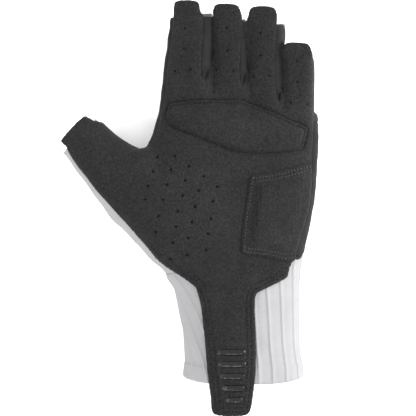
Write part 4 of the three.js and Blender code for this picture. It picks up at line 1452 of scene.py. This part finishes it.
def bar_outline(half):
    """A rectangle with round corners, from its half sizes."""
    outline = []
    for sx, sy, start in ((1, 1, 0), (-1, 1, 90), (-1, -1, 180), (1, -1, 270)):
        for a in np.radians(start + 15 * np.arange(7)):
            corner = BAR_CORNER * np.array([math.cos(a), math.sin(a)])
            outline.append((half - BAR_CORNER) * (sx, sy) + corner)
    return spaced(np.array(outline + [outline[0]]), BAR_CELL)[:-1]


def make_bars(surface):
    """Silicone bars on the tongue, each a low uneven dome whose left end slopes down."""
    for number in range(BARS):
        half = np.array([BAR_LENGTH - BAR_SHORTER * number**2, BAR_WIDTH]) / 2
        centre = np.array([FIRST_BAR[0] + BAR_DRIFT * number, FIRST_BAR[1] - BAR_PITCH * number])
        outline = bar_outline(half)
        count = len(outline)
        points = []
        for share, rise in BAR_PROFILE:
            for spot in outline:
                x, y = centre + spot - np.sign(spot) * np.minimum(np.abs(spot), (1 - share) * half[1])
                wobble = sum(h * math.sin(v * rate + number) for v, (h, rate) in zip((x, y), BAR_WAVES))
                slope = BAR_SLOPE * max(0, 1 - (x - centre[0] + half[0]) / BAR_SLOPE_LENGTH)
                height = rise * BAR_RISE + (wobble * share - slope) * (rise > 0.3)
                if rise > 0:
                    height = max(height, BAR_LEAST[0] + BAR_LEAST[1] * rise)
                points.append(dropped(surface, (x, y))[0] + np.array([0, 0, height]))
        faces = banded(0, count, len(BAR_PROFILE))
        last = len(points) - count
        points += [np.mean(points[last:], axis=0), np.mean(points[:count], axis=0)]
        for i in range(count):
            j = (i + 1) % count
            faces += [(len(points) - 2, last + i, last + j), (len(points) - 1, j, i)]
        make(f"bar_{number + 1}", np.array(points), np.array(faces), SILICONE, slot="silicone",
             replaces=[f"grip_bar_{number + 1}"])


palm_surface = make_palm()
for pair, region in FOURCHETTES.items():
    make_side(f"wall_{pair}", f"fourchette_{pair}", region)
make_side("wall_index_side", "index_side_panel", band_plan)
make_side("wall_ulnar", "ulnar_side_panel", ulnar_plan, extra=[lambda p: -white_plan(p)])
make_back()
make_cuff()
pad_surface = make_pad("palm_cushion", "palm_pad", PALM_PAD, palm_pad_profile)
heel_surface = make_pad("heel_cushion", "heel_pad", HEEL_PAD, heel_pad_profile)
stitches("tongue_stitches", [(row, palm_surface) for row in TONGUE_ROWS], DARK_THREAD)
stitches("pad_stitches", [(PALM_PAD_ROW, pad_surface), (inset(PALM_PAD_EDGE, ROW_OFF_PAD), palm_surface)],
         DARK_THREAD)
stitches("heel_stitches", [(row, heel_surface) for row in HEEL_ROWS], PALE_THREAD)
make_bars(palm_surface)

# Floor, light and camera
FLOOR_HALF = 4.0
FLOOR_AT = -0.0002
LIGHTS = (
    ("key", (1.06, 0.38, 0.46), (0, 0.05, 0.02), 0.8, 32),
    ("left", (-0.95, -0.3, 0.8), (0, -0.02, 0.02), 0.2, 6.5),
    ("front", (-0.1, -1.0, 0.75), (0, -0.02, 0.02), 0.16, 5),
)

floor_mesh = bpy.data.meshes.new("floor")
corners = ((-1, -1), (1, -1), (1, 1), (-1, 1))
floor_mesh.from_pydata([(x * FLOOR_HALF, y * FLOOR_HALF, FLOOR_AT) for x, y in corners], [], [(0, 1, 2, 3)])
floor_mesh.materials.append(floor_material())
floor = bpy.data.objects.new("floor", floor_mesh)
bpy.context.scene.collection.objects.link(floor)

for name, place, target, width, energy in LIGHTS:
    data = bpy.data.lights.new(name, "AREA")
    data.shape = "RECTANGLE"
    data.size = width
    data.size_y = width
    data.energy = energy
    lamp = bpy.data.objects.new(name, data)
    bpy.context.scene.collection.objects.link(lamp)
    lamp.location = place
    lamp.rotation_mode = "QUATERNION"
    lamp.rotation_quaternion = (Vector(target) - Vector(place)).to_track_quat("-Z", "Y")

world = bpy.data.worlds.new("studio")
world.use_nodes = True
world.node_tree.nodes["Background"].inputs["Color"].default_value = (1, 1, 1, 1)
world.node_tree.nodes["Background"].inputs["Strength"].default_value = 1.74
bpy.context.scene.world = world
bpy.context.scene.view_settings.view_transform = "Standard"

PHOTO_SCALE = 0.58
PHOTO_CENTRE = ((208 - 240) * PHOTO_SCALE, (290 - 208) * PHOTO_SCALE)
PHOTO_WIDTH = 416 * PHOTO_SCALE
FOCUS_HEIGHT = 22
CAMERA_HEIGHT = 1400
SENSOR = 36
camera_data = bpy.data.cameras.new("camera")
camera_data.sensor_width = SENSOR
camera_data.lens = SENSOR * (CAMERA_HEIGHT - FOCUS_HEIGHT) / PHOTO_WIDTH
camera_data.clip_start, camera_data.clip_end = 0.05, 20
camera = bpy.data.objects.new("camera", camera_data)
bpy.context.scene.collection.objects.link(camera)
camera.location = (PHOTO_CENTRE[0] * MM, PHOTO_CENTRE[1] * MM, CAMERA_HEIGHT * MM)
bpy.context.scene.camera = camera
